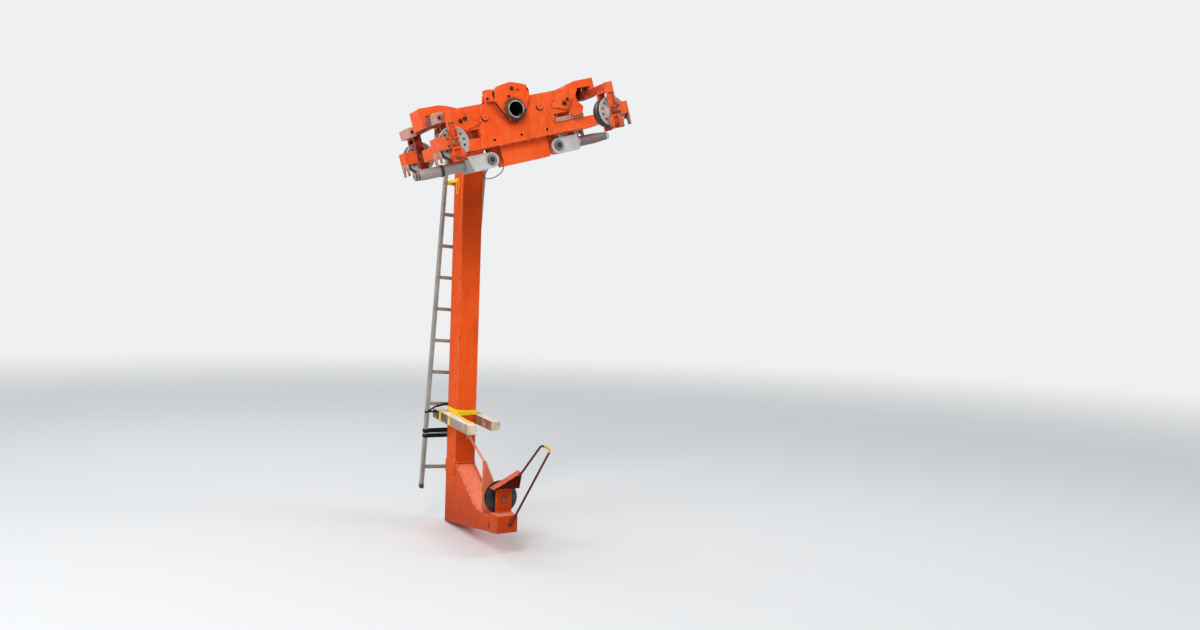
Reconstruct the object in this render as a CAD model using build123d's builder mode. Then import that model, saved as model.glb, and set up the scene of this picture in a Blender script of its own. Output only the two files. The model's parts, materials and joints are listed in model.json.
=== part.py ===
# Running carriage of an aerial tramway with its hanger, in millimetres, Z up.
# Origin midway between the two track ropes, at rope height, under the pivot's place on the carriage.
# X runs uphill along the line, Y across it, away from the viewer.
# Carriage pieces are drawn square to the ropes, on planes tilted with them:
# u along the ropes, n square to them, both measured from the origin.
import os
from math import cos, radians, sin

from build123d import *

os.makedirs("parts", exist_ok=True)

# Track ropes
SLOPE = 17.0
ROPE_D = 50.0
GAUGE = 820.0

# Wheels and forks
WHEEL_BASE = 1360.0
ROPE_GAP = 1.0
TREAD_R = 100.0
FLANGE_DEPTH = 19.0
WHEEL_W = 108.0
WHEEL_AXLE_R = 20.0
RUN_GAP = 0.05
SIDE_GAP = 7.0
LEG_T = 22.0
LEG_RECESS = 12.0
FORK_HALF_U = 32.0
FORK_FLARE = 58.0
BRIDGE_T = 16.0
BEAM_T = 52.0
BUFFER_U = 60.0
BUFFER_H = 72.0
BUFFER_L = 230.0
GUARD_LOW = 84.0
GUARD_T = 12.0
HEAD_T = 14.0

# Main girder
GIRDER_TOP = 400.0
GIRDER_HALF_W = 100.0
SKIN = 12.0
LOWER_ARM_TOP = 150.0
LOWER_ARM_BOTTOM = 60.0
SLOT_TOP = 215.0
ARM_REACH = 345.0
SIDE_PLATE_SLANT = 73.0
PLATE_HOLE_R = 11.0
PLATE_HOLE_N = 107.0
TONGUE_BOTTOM = -103.0
TONGUE_HALF_W = 60.0
LUG_HALF_W = 28.0
LOW_SHIFT = 45.0

# Haul rope pins and sockets
PIN_HALF = 303.0
PIN_N = -35.0
PIN_R = 24.0
EYE_R = 62.0
CHEEK_IN = 33.0
CHEEK_OUT = 60.0
CHEEK_GAP_L = 72.0
SOCKET_R = 42.0
TAPER_R = 30.0
ROPE_BORE_R = 14.0
ROPE_BORE_L = 120.0

# Pivot and main axle
PIVOT_U = 8.0
PIVOT_DROP = 93.0
AXLE_R = 70.0
AXLE_BORE_R = 58.0
PIVOT_PLATE_T = 28.0
SPACER_H = 76.0

# Hanger
HEAD_R = 125.0
COL_X = 180.0
COL_Y = 240.0
COL_MID_Y = 900.0
HANGER_L = 3522.0
FOOT_END_Y = -270.0
TIMBER = (80.0, 80.0)
TIMBER_TILT = 2.0
STRAP_T = 5.0
STRAP_W = 55.0

UP = radians(SLOPE)
U_DIR = (cos(UP), 0.0, sin(UP))
WHEEL_U = WHEEL_BASE / 2
SIDE_PLATE_LOW_HALF = WHEEL_U - ARM_REACH
SIDE_PLATE_TOP_HALF = SIDE_PLATE_LOW_HALF - SIDE_PLATE_SLANT
ROPE_Y = GAUGE / 2
ROPE_R = ROPE_D / 2
WHEEL_H = ROPE_R + ROPE_GAP + TREAD_R
FLANGE_R = TREAD_R + FLANGE_DEPTH
HUB_HALF = WHEEL_W / 2 + 4
LEG_IN = HUB_HALF + SIDE_GAP
LEG_OUT = LEG_IN + LEG_T
FORK_TOP = WHEEL_H + FLANGE_R + 32
BEAM_LOW = FORK_TOP + BRIDGE_T
BEAM_HIGH = BEAM_LOW + BEAM_T
ARCH_TOP = BEAM_HIGH + 38
ARM_TOP = ARCH_TOP + 64
PIVOT_N = GIRDER_TOP - PIVOT_DROP
PIVOT_X = PIVOT_U * cos(UP) - PIVOT_N * sin(UP)
PIVOT_Z = PIVOT_U * sin(UP) + PIVOT_N * cos(UP)
COL_IN = COL_MID_Y - COL_Y / 2
COL_OUT = COL_MID_Y + COL_Y / 2
COL_TOP = PIVOT_Z - HEAD_R - 8
FOOT_Z = PIVOT_Z - HANGER_L
FOOT_TOP_Z = FOOT_Z + 282
COL_LOW = FOOT_Z + 564


def point(u, y, n):
    """A place given along, across and square to the ropes, in the shared axes."""
    return (u * cos(UP) - n * sin(UP), y, u * sin(UP) + n * cos(UP))


def side(y):
    """Plane parallel to the girder's side at y; what is extruded grows towards the viewer."""
    return Plane(origin=(0, y, 0), x_dir=U_DIR, z_dir=(0, -1, 0))


def upright(y):
    """The same with the plane's first axis level, for what hangs plumb."""
    return Plane(origin=(0, y, 0), x_dir=(1, 0, 0), z_dir=(0, -1, 0))


def facing_line(x):
    """Plane square to the line at x, first axis across; what is extruded grows uphill."""
    return Plane(origin=(x, 0, 0), x_dir=(0, 1, 0), z_dir=(1, 0, 0))


def level(z):
    return Plane(origin=(0, 0, z))


def mirrored(points, way):
    return [(way * u, n) for u, n in points]


def save(piece, name):
    piece.part.label = name
    export_step(piece.part, f"parts/{name}.step")


# Main girder with its lower tongue and rope lugs
CHORD_END = WHEEL_U - 120
LOWER_ARM_END = WHEEL_U + 65
LOWER_SLOT_START = SIDE_PLATE_LOW_HALF - 17
UPPER_SLOT_START = SIDE_PLATE_LOW_HALF + 15
TONGUE_HALF_L = PIN_HALF - EYE_R - 31
PINS = (LOW_SHIFT - PIN_HALF, LOW_SHIFT + PIN_HALF)


def half_girder(slot_start):
    """Outline of the uphill half, with the open slot in its end."""
    return (
        (CHORD_END, GIRDER_TOP), (CHORD_END, SLOT_TOP), (slot_start, SLOT_TOP), (slot_start, LOWER_ARM_TOP),
        (LOWER_ARM_END, LOWER_ARM_TOP), (LOWER_ARM_END, LOWER_ARM_BOTTOM))


with BuildPart() as main_girder:
    with BuildSketch(side(GIRDER_HALF_W)):
        with BuildLine():
            Polyline(
                *half_girder(UPPER_SLOT_START), *mirrored(reversed(half_girder(LOWER_SLOT_START)), -1),
                close=True)
        make_face()
    extrude(amount=2 * GIRDER_HALF_W)
    with BuildSketch(side(TONGUE_HALF_W)):
        with Locations((LOW_SHIFT, (LOWER_ARM_BOTTOM + TONGUE_BOTTOM) / 2)):
            Rectangle(2 * TONGUE_HALF_L, LOWER_ARM_BOTTOM - TONGUE_BOTTOM)
    extrude(amount=2 * TONGUE_HALF_W)
    with BuildSketch(side(LUG_HALF_W)):
        with Locations((LOW_SHIFT, (LOWER_ARM_BOTTOM + PIN_N - EYE_R + 8) / 2)):
            Rectangle(2 * PIN_HALF, LOWER_ARM_BOTTOM - PIN_N + EYE_R - 8)
        with Locations(*[(pin_u, PIN_N) for pin_u in PINS]):
            Circle(EYE_R - 8)
    extrude(amount=2 * LUG_HALF_W)
    with BuildSketch(side(LUG_HALF_W)):
        with Locations(*[(pin_u, PIN_N) for pin_u in PINS]):
            Circle(PIN_R)
    extrude(amount=2 * LUG_HALF_W, mode=Mode.SUBTRACT)
    with BuildSketch(side(GIRDER_HALF_W)):
        with Locations((PIVOT_U, PIVOT_N)):
            Circle(AXLE_R)
    extrude(amount=2 * GIRDER_HALF_W, mode=Mode.SUBTRACT)
save(main_girder, "main_girder")

# Trapezium plates welded over the girder's sides, with three holes
HOLE_US = (122 - SIDE_PLATE_LOW_HALF, PIVOT_U + 14, SIDE_PLATE_LOW_HALF - 81)
with BuildPart() as side_plates:
    for face in (-GIRDER_HALF_W, GIRDER_HALF_W + SKIN):
        with BuildSketch(side(face)):
            with BuildLine():
                Polyline(
                    (-SIDE_PLATE_TOP_HALF, GIRDER_TOP - 4), (SIDE_PLATE_TOP_HALF, GIRDER_TOP - 4),
                    (SIDE_PLATE_LOW_HALF, LOWER_ARM_BOTTOM), (-SIDE_PLATE_LOW_HALF, LOWER_ARM_BOTTOM),
                    close=True)
            make_face()
            with Locations((PIVOT_U, PIVOT_N)):
                Circle(AXLE_R, mode=Mode.SUBTRACT)
            with Locations(*[(hole_u, PLATE_HOLE_N) for hole_u in HOLE_US]):
                Circle(PLATE_HOLE_R, mode=Mode.SUBTRACT)
        extrude(amount=SKIN)
save(side_plates, "side_plates")

# Thick bearing plates that carry the axle, outlined from the pivot
PLATE_OUTLINE = (
    (-163, 78), (-137, 174), (-98, 197), (14, 213), (86, 194),
    (139, 174), (155, 123), (143, 66), (88, -7), (-15, -92), (-83, -75))
PLATE_FACE = GIRDER_HALF_W + SKIN + PIVOT_PLATE_T
with BuildPart() as pivot_plates:
    for face in (-GIRDER_HALF_W - SKIN, PLATE_FACE):
        with BuildSketch(side(face)):
            with BuildLine():
                Polyline(*[(PIVOT_U + u, PIVOT_N + n) for u, n in PLATE_OUTLINE], close=True)
            make_face()
            with Locations((PIVOT_U, PIVOT_N)):
                Circle(AXLE_R + 33)
                Circle(AXLE_R, mode=Mode.SUBTRACT)
        extrude(amount=PIVOT_PLATE_T)
save(pivot_plates, "pivot_plates")

# Spacer between the bearing plates above the girder, and the bolted tab beside it
with BuildPart() as plate_spacer:
    with BuildSketch(side(GIRDER_HALF_W + SKIN)):
        with Locations((PIVOT_U - 4, GIRDER_TOP + SPACER_H / 2)):
            Rectangle(220, SPACER_H)
    extrude(amount=2 * (GIRDER_HALF_W + SKIN))
save(plate_spacer, "plate_spacer")

with BuildPart() as stop_block:
    with BuildSketch(side(-GIRDER_HALF_W + 20)):
        with Locations((PIVOT_U - 190, GIRDER_TOP + 46)):
            Rectangle(56, 92)
    extrude(amount=60)
save(stop_block, "stop_block")

AXLE_NEAR = -PLATE_FACE - 20
AXLE_FAR = COL_OUT + 25
with BuildPart() as main_axle:
    with BuildSketch(side(AXLE_FAR)):
        with Locations((PIVOT_U, PIVOT_N)):
            Circle(AXLE_R)
            Circle(AXLE_BORE_R, mode=Mode.SUBTRACT)
    extrude(amount=AXLE_FAR - AXLE_NEAR)
save(main_axle, "main_axle")

# Gooseneck arms: two cheeks bolted to the girder, a boxed top, a middle web and a pointed gusset
TIP_U = SIDE_PLATE_TOP_HALF + 80
RISE_U = TIP_U + 120
NECK_U = WHEEL_U - 88
BELLY_U = WHEEL_U - 105
ARM_IN = WHEEL_U + 42
ARM_END = WHEEL_U + 84
GUSSET_T = 34.0
CROWN = (
    ((RISE_U + NECK_U) / 2, (GIRDER_TOP + ARM_TOP) / 2 + 4), (NECK_U, ARM_TOP - 2), (ARM_END - 5, ARM_TOP),
    (ARM_END, ARM_TOP - 5), (ARM_END, BEAM_LOW), (ARM_IN, BEAM_LOW), (ARM_IN, ARCH_TOP))
ARMS = (  # name, way, pointed tip and heel of the cheeks, bolt places, gusset block and its thickness
    ("lower_gooseneck_arm", -1, (SIDE_PLATE_LOW_HALF - 20, SLOT_TOP + 34), (TIP_U + 85, SLOT_TOP + 8),
     ((TIP_U + 72, SLOT_TOP + 97), (TIP_U + 113, SLOT_TOP + 84)),
     ((TIP_U + 128, SLOT_TOP + 17), (WHEEL_U - 68, SLOT_TOP + 11), (BELLY_U + 5, SLOT_TOP + 83)), SKIN),
    ("upper_gooseneck_arm", 1, (TIP_U, SLOT_TOP + 60), (TIP_U + 128, SLOT_TOP + 17),
     ((TIP_U + 116, SLOT_TOP + 70), (TIP_U + 152, SLOT_TOP + 97)),
     ((TIP_U + 140, SLOT_TOP - 5), (TIP_U + 168, SLOT_TOP - 52), (WHEEL_U - 92, SLOT_TOP - 32),
      (WHEEL_U - 71, SLOT_TOP + 15), (TIP_U + 196, SLOT_TOP + 88)), GUSSET_T))
for label, way, tip, heel, bolts, gusset, gusset_t in ARMS:
    with BuildPart() as arm:
        for face in (-GIRDER_HALF_W, GIRDER_HALF_W + SKIN):
            with BuildSketch(side(face)):
                with BuildLine():
                    Polyline(
                        *mirrored(
                            (tip, (RISE_U, GIRDER_TOP), *CROWN, (WHEEL_U - 74, ARCH_TOP),
                             (BELLY_U, SLOT_TOP + 115), (BELLY_U + 5, SLOT_TOP + 83),
                             (WHEEL_U - 68, SLOT_TOP + 11), heel), way),
                        close=True)
                make_face()
                with Locations(*mirrored(bolts, way)):
                    Circle(PLATE_HOLE_R, mode=Mode.SUBTRACT)
            extrude(amount=SKIN)
        for face in (-GIRDER_HALF_W - SKIN, GIRDER_HALF_W + SKIN + gusset_t):
            with BuildSketch(side(face)):
                with BuildLine():
                    Polyline(*mirrored(gusset, way), close=True)
                make_face()
            extrude(amount=gusset_t)
        with BuildSketch(side(GIRDER_HALF_W)):
            with BuildLine():
                Polyline(
                    *mirrored(
                        ((RISE_U + 38, GIRDER_TOP), *CROWN, (CHORD_END, ARCH_TOP), (CHORD_END, GIRDER_TOP)),
                        way),
                    close=True)
            make_face()
        extrude(amount=2 * GIRDER_HALF_W)
        with BuildSketch(side(SKIN / 2)):
            with BuildLine():
                Polyline(
                    *mirrored(
                        ((CHORD_END, ARCH_TOP), (ARM_IN, ARCH_TOP), (ARM_IN, BEAM_LOW), (CHORD_END, BEAM_LOW)),
                        way),
                    close=True)
            make_face()
            with Locations((way * WHEEL_U, (BEAM_LOW + ARCH_TOP) / 2)):
                Rectangle(2 * FORK_HALF_U, ARCH_TOP - BEAM_LOW, mode=Mode.SUBTRACT)
        extrude(amount=SKIN)
    save(arm, label)

# Crossbeams, with a saddle block under the arch of each arm
BEAM_END = ROPE_Y + LEG_IN
for label, way in (("lower_crossbeam", -1), ("upper_crossbeam", 1)):
    with BuildPart() as crossbeam:
        with BuildSketch(side(BEAM_END)):
            with Locations((way * WHEEL_U, (BEAM_LOW + BEAM_HIGH) / 2)):
                Rectangle(2 * FORK_HALF_U, BEAM_T)
        extrude(amount=2 * BEAM_END)
        with BuildSketch(side(GIRDER_HALF_W - 10)):
            with Locations((way * WHEEL_U, (BEAM_LOW + ARCH_TOP) / 2)):
                Rectangle(2 * FORK_HALF_U, ARCH_TOP - BEAM_LOW)
        extrude(amount=2 * GIRDER_HALF_W - 20)
    save(crossbeam, label)

# Weathered buffer blocks on the downhill face of the lower crossbeam, over the wheels
BUFFER_OUT = BEAM_END - 20
BUFFER_LOW = FORK_TOP + 6
with BuildPart() as buffer_blocks:
    for start in (BUFFER_OUT, BUFFER_L - BUFFER_OUT):
        with BuildSketch(side(start)):
            with Locations((-WHEEL_U - FORK_HALF_U - BUFFER_U / 2, BUFFER_LOW + BUFFER_H / 2)):
                Rectangle(BUFFER_U, BUFFER_H)
        extrude(amount=BUFFER_L)
save(buffer_blocks, "buffer_blocks")

# Wheel forks: a recessed outer leg with a flared foot, a plain inner leg, a bridge over the wheel
FORKS = (  # name, way along the line, side of the line
    ("lower_near", -1, -1), ("lower_far", -1, 1), ("upper_near", 1, -1), ("upper_far", 1, 1))
FORK_FOOT = 9 - ROPE_R
RECESS_HALF = FORK_HALF_U - 9
for name, way, hand in FORKS:
    centre_u = way * WHEEL_U
    rope_y = hand * ROPE_Y
    with BuildPart() as fork:
        for leg_side, leg_top, flare in ((1, BEAM_HIGH + 4, FORK_FLARE), (-1, BEAM_LOW, FORK_HALF_U)):
            faces = (rope_y + hand * leg_side * LEG_IN, rope_y + hand * leg_side * LEG_OUT)
            with BuildSketch(side(max(faces))):
                with BuildLine():
                    Polyline(
                        (centre_u - FORK_HALF_U, leg_top), (centre_u + FORK_HALF_U, leg_top),
                        (centre_u + FORK_HALF_U, FORK_FOOT + 100), (centre_u + flare, FORK_FOOT + 64),
                        (centre_u + flare, FORK_FOOT), (centre_u - flare, FORK_FOOT),
                        (centre_u - flare, FORK_FOOT + 64), (centre_u - FORK_HALF_U, FORK_FOOT + 100),
                        close=True)
                make_face()
                with Locations((centre_u, WHEEL_H)):
                    Circle(WHEEL_AXLE_R, mode=Mode.SUBTRACT)
            extrude(amount=LEG_T)
        with BuildSketch(side(rope_y + LEG_IN)):
            with Locations((centre_u, (FORK_TOP + BEAM_LOW) / 2)):
                Rectangle(2 * FORK_HALF_U, BRIDGE_T)
        extrude(amount=2 * LEG_IN)
        outside = rope_y + hand * LEG_OUT
        with BuildSketch(side(outside if hand > 0 else outside + LEG_RECESS)):
            for low, high in ((FORK_FOOT + 18, WHEEL_H - 52), (WHEEL_H + 40, FORK_TOP - 8)):
                with Locations((centre_u, (low + high) / 2)):
                    Rectangle(2 * RECESS_HALF, high - low)
        extrude(amount=LEG_RECESS, mode=Mode.SUBTRACT)
    save(fork, f"{name}_fork")

# Grooved wheels; the groove follows the rope in three straight steps
MOUTH = ROPE_R + 3
GROOVE = (  # across and deep, as shares of the rope's radius
    (0.95, 0.62), (0.80, 0.36), (0.36, 0.0), (-0.36, 0.0), (-0.80, 0.36), (-0.95, 0.62))
for name, way, hand in FORKS:
    hub = point(way * WHEEL_U, hand * ROPE_Y, WHEEL_H)
    half = WHEEL_W / 2
    with BuildPart() as wheel:
        with BuildSketch(Plane(origin=hub, x_dir=(0, 1, 0), z_dir=U_DIR)):
            with BuildLine():
                Polyline(
                    (-HUB_HALF, WHEEL_AXLE_R + RUN_GAP), (-HUB_HALF, WHEEL_AXLE_R + 18),
                    (8 - half, WHEEL_AXLE_R + 24), (8 - half, TREAD_R + 2), (-half, TREAD_R + 8),
                    (-half, FLANGE_R - 4), (4 - half, FLANGE_R), (-MOUTH, FLANGE_R),
                    *[(-y * ROPE_R, TREAD_R + deep * ROPE_R) for y, deep in GROOVE],
                    (MOUTH, FLANGE_R), (half - 4, FLANGE_R), (half, FLANGE_R - 4), (half, TREAD_R + 8),
                    (half - 8, TREAD_R + 2), (half - 8, WHEEL_AXLE_R + 24), (HUB_HALF, WHEEL_AXLE_R + 18),
                    (HUB_HALF, WHEEL_AXLE_R + RUN_GAP), close=True)
            make_face()
        revolve(axis=Axis(hub, (0, 1, 0)))
    save(wheel, f"{name}_wheel")

# Wheel axles, each with a keeper plate and a hexagon head outside the fork
with BuildPart() as wheel_axles:
    for name, way, hand in FORKS:
        centre_u = way * WHEEL_U
        outer = hand * (ROPE_Y + LEG_OUT)
        inner = hand * (ROPE_Y - LEG_OUT)
        with BuildSketch(side(max(outer, inner))):
            with Locations((centre_u, WHEEL_H)):
                Circle(WHEEL_AXLE_R)
        extrude(amount=abs(outer - inner))
        with BuildSketch(side(outer + 6 if hand > 0 else outer)):
            with Locations((centre_u, WHEEL_H)):
                Rectangle(2 * RECESS_HALF + 8, 56)
        extrude(amount=6)
        with BuildSketch(side(outer + HEAD_T if hand > 0 else outer)):
            with Locations((centre_u, WHEEL_H)):
                RegularPolygon(WHEEL_AXLE_R + 2, 6)
        extrude(amount=HEAD_T)
save(wheel_axles, "wheel_axles")

# Guards boxed round the outer quarter of each wheel, and notched end plates over the ropes below them
GUARD_IN = WHEEL_U + FLANGE_R + 6
GUARD_HIGH = GUARD_LOW + 96
END_PLATE_T = 10.0
END_PLATE_LOW = -6.0
ROPE_SLOT_HALF = ROPE_R + 11
ROPE_SLOT_ARC_N = 14.0


def wheel_boxes(way, hand, start_u):
    """Outer and inner size of a box over the wheel's outer end, open towards the fork."""
    return (
        (way * (start_u + GUARD_IN + END_PLATE_T) / 2, GUARD_IN + END_PLATE_T - start_u,
         hand * ROPE_Y, LEG_IN + GUARD_T, Mode.ADD),
        (way * (start_u + GUARD_IN) / 2, GUARD_IN - start_u, hand * ROPE_Y, LEG_IN, Mode.SUBTRACT))


for label, way in (("lower_wheel_guards", -1), ("upper_wheel_guards", 1)):
    with BuildPart() as guards:
        for hand in (-1, 1):
            for mid_u, long_u, mid_y, half_y, how in wheel_boxes(way, hand, WHEEL_U + FORK_HALF_U):
                with BuildSketch(side(mid_y + half_y)):
                    with Locations((mid_u, (GUARD_LOW + GUARD_HIGH) / 2)):
                        Rectangle(long_u, GUARD_HIGH - GUARD_LOW)
                extrude(amount=2 * half_y, mode=how)
    save(guards, label)

with BuildPart() as guard_end_plates:
    for way in (-1, 1):
        for hand in (-1, 1):
            plate = Plane(origin=point(way * GUARD_IN, hand * ROPE_Y, 0), x_dir=(0, 1, 0), z_dir=U_DIR)
            with BuildSketch(plate):
                with Locations((0, (END_PLATE_LOW + GUARD_LOW) / 2)):
                    Rectangle(2 * (LEG_IN + GUARD_T), GUARD_LOW - END_PLATE_LOW)
                with Locations((0, ROPE_SLOT_ARC_N)):
                    Circle(ROPE_SLOT_HALF, mode=Mode.SUBTRACT)
                with Locations((0, (END_PLATE_LOW + ROPE_SLOT_ARC_N) / 2)):
                    Rectangle(2 * ROPE_SLOT_HALF, ROPE_SLOT_ARC_N - END_PLATE_LOW, mode=Mode.SUBTRACT)
            extrude(amount=way * END_PLATE_T)
save(guard_end_plates, "guard_end_plates")

# Haul rope pins, and the sockets that swing on them
with BuildPart() as haul_rope_pins:
    for pin_u in PINS:
        with BuildSketch(side(CHEEK_OUT + 16)):
            with Locations((pin_u, PIN_N)):
                Circle(PIN_R)
        extrude(amount=2 * CHEEK_OUT + 32)
        for start in (CHEEK_OUT + 16, -CHEEK_OUT - 4):
            with BuildSketch(side(start)):
                with Locations((pin_u, PIN_N)):
                    Circle(PIN_R + 10)
            extrude(amount=12)
save(haul_rope_pins, "haul_rope_pins")

SOCKETS = (  # name, way, and how far from the pin the cheeks, the barrel and the taper end
    ("lower_rope_socket", -1, 222, 562, 632), ("upper_rope_socket", 1, 190, 368, 502))
for label, way, cheek_l, barrel_l, taper_l in SOCKETS:
    pin_u = LOW_SHIFT + way * PIN_HALF
    with BuildPart() as socket:
        with BuildSketch(side(CHEEK_OUT)):
            with Locations((pin_u + way * cheek_l / 2, PIN_N)):
                Rectangle(cheek_l, 2 * EYE_R)
            with Locations((pin_u, PIN_N)):
                Circle(EYE_R)
        extrude(amount=2 * CHEEK_OUT)
        with BuildSketch(side(CHEEK_IN)):
            with Locations((pin_u + way * (CHEEK_GAP_L - 2 * EYE_R) / 2, PIN_N)):
                Rectangle(CHEEK_GAP_L + 2 * EYE_R, 3 * EYE_R)
        extrude(amount=2 * CHEEK_IN, mode=Mode.SUBTRACT)
        with BuildSketch(side(CHEEK_OUT)):
            with Locations((pin_u, PIN_N)):
                Circle(PIN_R + RUN_GAP)
        extrude(amount=2 * CHEEK_OUT, mode=Mode.SUBTRACT)
        with BuildSketch(side(0)):
            with BuildLine():
                Polyline(
                    (pin_u + way * cheek_l, PIN_N), (pin_u + way * cheek_l, PIN_N + SOCKET_R),
                    (pin_u + way * barrel_l, PIN_N + SOCKET_R), (pin_u + way * taper_l, PIN_N + TAPER_R),
                    (pin_u + way * taper_l, PIN_N), close=True)
            make_face()
        revolve(axis=Axis(point(0, 0, PIN_N), U_DIR))
        mouth = point(pin_u + way * taper_l, 0, PIN_N)
        with BuildSketch(Plane(origin=mouth, x_dir=(0, 1, 0), z_dir=U_DIR)):
            Circle(ROPE_BORE_R)
        extrude(amount=-way * ROPE_BORE_L, mode=Mode.SUBTRACT)
    save(socket, label)

# Square tie bar lying on the chord in the girder's open slot, proud of its side
BAR = 34.0
BAR_START = UPPER_SLOT_START
BAR_END = WHEEL_U - 68
with BuildPart() as slot_bar:
    with BuildSketch(side(BAR - GIRDER_HALF_W - 10)):
        with Locations(((BAR_START + BAR_END) / 2, LOWER_ARM_TOP + BAR / 2)):
            Rectangle(BAR_END - BAR_START, BAR)
    extrude(amount=BAR)
save(slot_bar, "slot_bar")

# Hanger: boss turning on the far end of the main axle, and the column
with BuildPart() as hanger_head:
    with BuildSketch(upright(COL_OUT - 20)):
        with Locations((PIVOT_X, PIVOT_Z)):
            Circle(HEAD_R)
        with Locations((PIVOT_X, (PIVOT_Z + COL_TOP) / 2)):
            Rectangle(COL_X, PIVOT_Z - COL_TOP)
        with Locations((PIVOT_X, PIVOT_Z)):
            Circle(AXLE_R + RUN_GAP, mode=Mode.SUBTRACT)
    extrude(amount=COL_Y - 40)
save(hanger_head, "hanger_head")

with BuildPart() as axle_cap:
    with BuildSketch(side(AXLE_FAR + 12)):
        with Locations((PIVOT_U, PIVOT_N)):
            Circle(AXLE_R + 22)
            Circle(AXLE_BORE_R, mode=Mode.SUBTRACT)
    extrude(amount=12)
save(axle_cap, "axle_cap")

COL_WALL = 10.0
with BuildPart() as hanger_column:
    with BuildSketch(level(COL_TOP)):
        with Locations((PIVOT_X, COL_MID_Y)):
            Rectangle(COL_X, COL_Y)
            Rectangle(COL_X - 2 * COL_WALL, COL_Y - 2 * COL_WALL, mode=Mode.SUBTRACT)
    extrude(amount=COL_LOW - COL_TOP)
    with BuildSketch(level(COL_TOP)):
        with Locations((PIVOT_X, COL_MID_Y)):
            Rectangle(COL_X, COL_Y)
    extrude(amount=-12)
save(hanger_column, "hanger_column")

# Sheave at the foot, with the posts and the hood over it
SHEAVE_R = 132.0
SHEAVE_W = 44.0
SHEAVE_MID_Y = -75.0
SHEAVE_PIN_R = 18.0
POST_HALF_X = 62.0
NEAR_POST_T = 38.0
NEAR_POST_SHIFT = 3.0
FAR_POST_T = 20.0
SHEAVE_Z = FOOT_TOP_Z + SHEAVE_R + 20
SHEAVE_HUB = SHEAVE_W / 2 + 6
FAR_POST = (SHEAVE_MID_Y + SHEAVE_HUB + SIDE_GAP, SHEAVE_MID_Y + SHEAVE_HUB + SIDE_GAP + FAR_POST_T)
NEAR_POST = (SHEAVE_MID_Y - SHEAVE_HUB - SIDE_GAP - NEAR_POST_T, SHEAVE_MID_Y - SHEAVE_HUB - SIDE_GAP)
HOOD_Y = (NEAR_POST[0] - 57, NEAR_POST[1])
HOOD_X = (PIVOT_X - 112, PIVOT_X + 126)
HOOD_LOW_Z = SHEAVE_Z + 90
HOOD_HIGH_Z = HOOD_LOW_Z + 125
HOOD_T = 10.0

# Foot: a lipped box in the shape of an L, its side plates lapped up the column to a point
FOOT_NEAR = SHEAVE_MID_Y - SHEAVE_W / 2 - 11
FOOT_END_LOW = FOOT_Z + 194
FOOT_END_HIGH = FOOT_TOP_Z + 46
FOOT_LIP = 10.0
FOOT_PLATE_T = 12.0
DOUBLER_T = 8.0
FOOT_OUTLINE = (
    (COL_OUT, COL_LOW), (COL_OUT, FOOT_Z), (FOOT_NEAR, FOOT_Z + 169), (FOOT_NEAR, FOOT_TOP_Z),
    (COL_IN - 530, FOOT_TOP_Z), (COL_IN, COL_LOW))
with BuildPart() as hanger_foot:
    for start, width, inset in (
            (-COL_X / 2, FOOT_PLATE_T, 0), (COL_X / 2 - FOOT_PLATE_T, FOOT_PLATE_T, 0),
            (FOOT_PLATE_T - COL_X / 2, COL_X - 2 * FOOT_PLATE_T, FOOT_LIP)):
        with BuildSketch(facing_line(PIVOT_X + start)):
            with BuildLine():
                Polyline(*FOOT_OUTLINE, close=True)
            make_face()
            if inset:
                offset(amount=-inset, kind=Kind.INTERSECTION, mode=Mode.REPLACE)
        extrude(amount=width)
    with BuildSketch(level(COL_LOW)):
        with Locations((PIVOT_X, COL_MID_Y)):
            Rectangle(COL_X - 2, COL_Y - 2)
    extrude(amount=-2 * FOOT_LIP)
    for start in (-COL_X / 2 - DOUBLER_T, COL_X / 2):
        with BuildSketch(facing_line(PIVOT_X + start)):
            with BuildLine():
                Polyline(
                    (COL_MID_Y - 20, COL_LOW + 66), (COL_IN, COL_LOW), (COL_IN, COL_LOW - 110),
                    (COL_OUT, COL_LOW - 110), (COL_OUT, COL_LOW), close=True)
            make_face()
        extrude(amount=DOUBLER_T)
save(hanger_foot, "hanger_foot")

with BuildPart() as foot_end_block:
    with BuildSketch(facing_line(PIVOT_X - COL_X / 2 - 12)):
        with BuildLine():
            Polyline(
                (FOOT_NEAR, FOOT_Z + 169), (FOOT_END_Y, FOOT_END_LOW), (FOOT_END_Y, FOOT_END_HIGH),
                (FOOT_NEAR, FOOT_END_HIGH), close=True)
        make_face()
    extrude(amount=COL_X - 10)
save(foot_end_block, "foot_end_block")

with BuildPart() as foot_sheave:
    with BuildSketch(Plane(origin=(PIVOT_X, SHEAVE_MID_Y, SHEAVE_Z), x_dir=(0, 1, 0), z_dir=(1, 0, 0))):
        with BuildLine():
            Polyline(
                (-SHEAVE_HUB, SHEAVE_PIN_R + RUN_GAP), (-SHEAVE_HUB, 34), (-SHEAVE_W / 2, 36),
                (-SHEAVE_W / 2, SHEAVE_R), (-16, SHEAVE_R), (-12, SHEAVE_R - 18), (-5, SHEAVE_R - 26),
                (5, SHEAVE_R - 26), (12, SHEAVE_R - 18), (16, SHEAVE_R), (SHEAVE_W / 2, SHEAVE_R),
                (SHEAVE_W / 2, 36), (SHEAVE_HUB, 34), (SHEAVE_HUB, SHEAVE_PIN_R + RUN_GAP), close=True)
        make_face()
    revolve(axis=Axis((PIVOT_X, SHEAVE_MID_Y, SHEAVE_Z), (0, 1, 0)))
save(foot_sheave, "foot_sheave")

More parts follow.
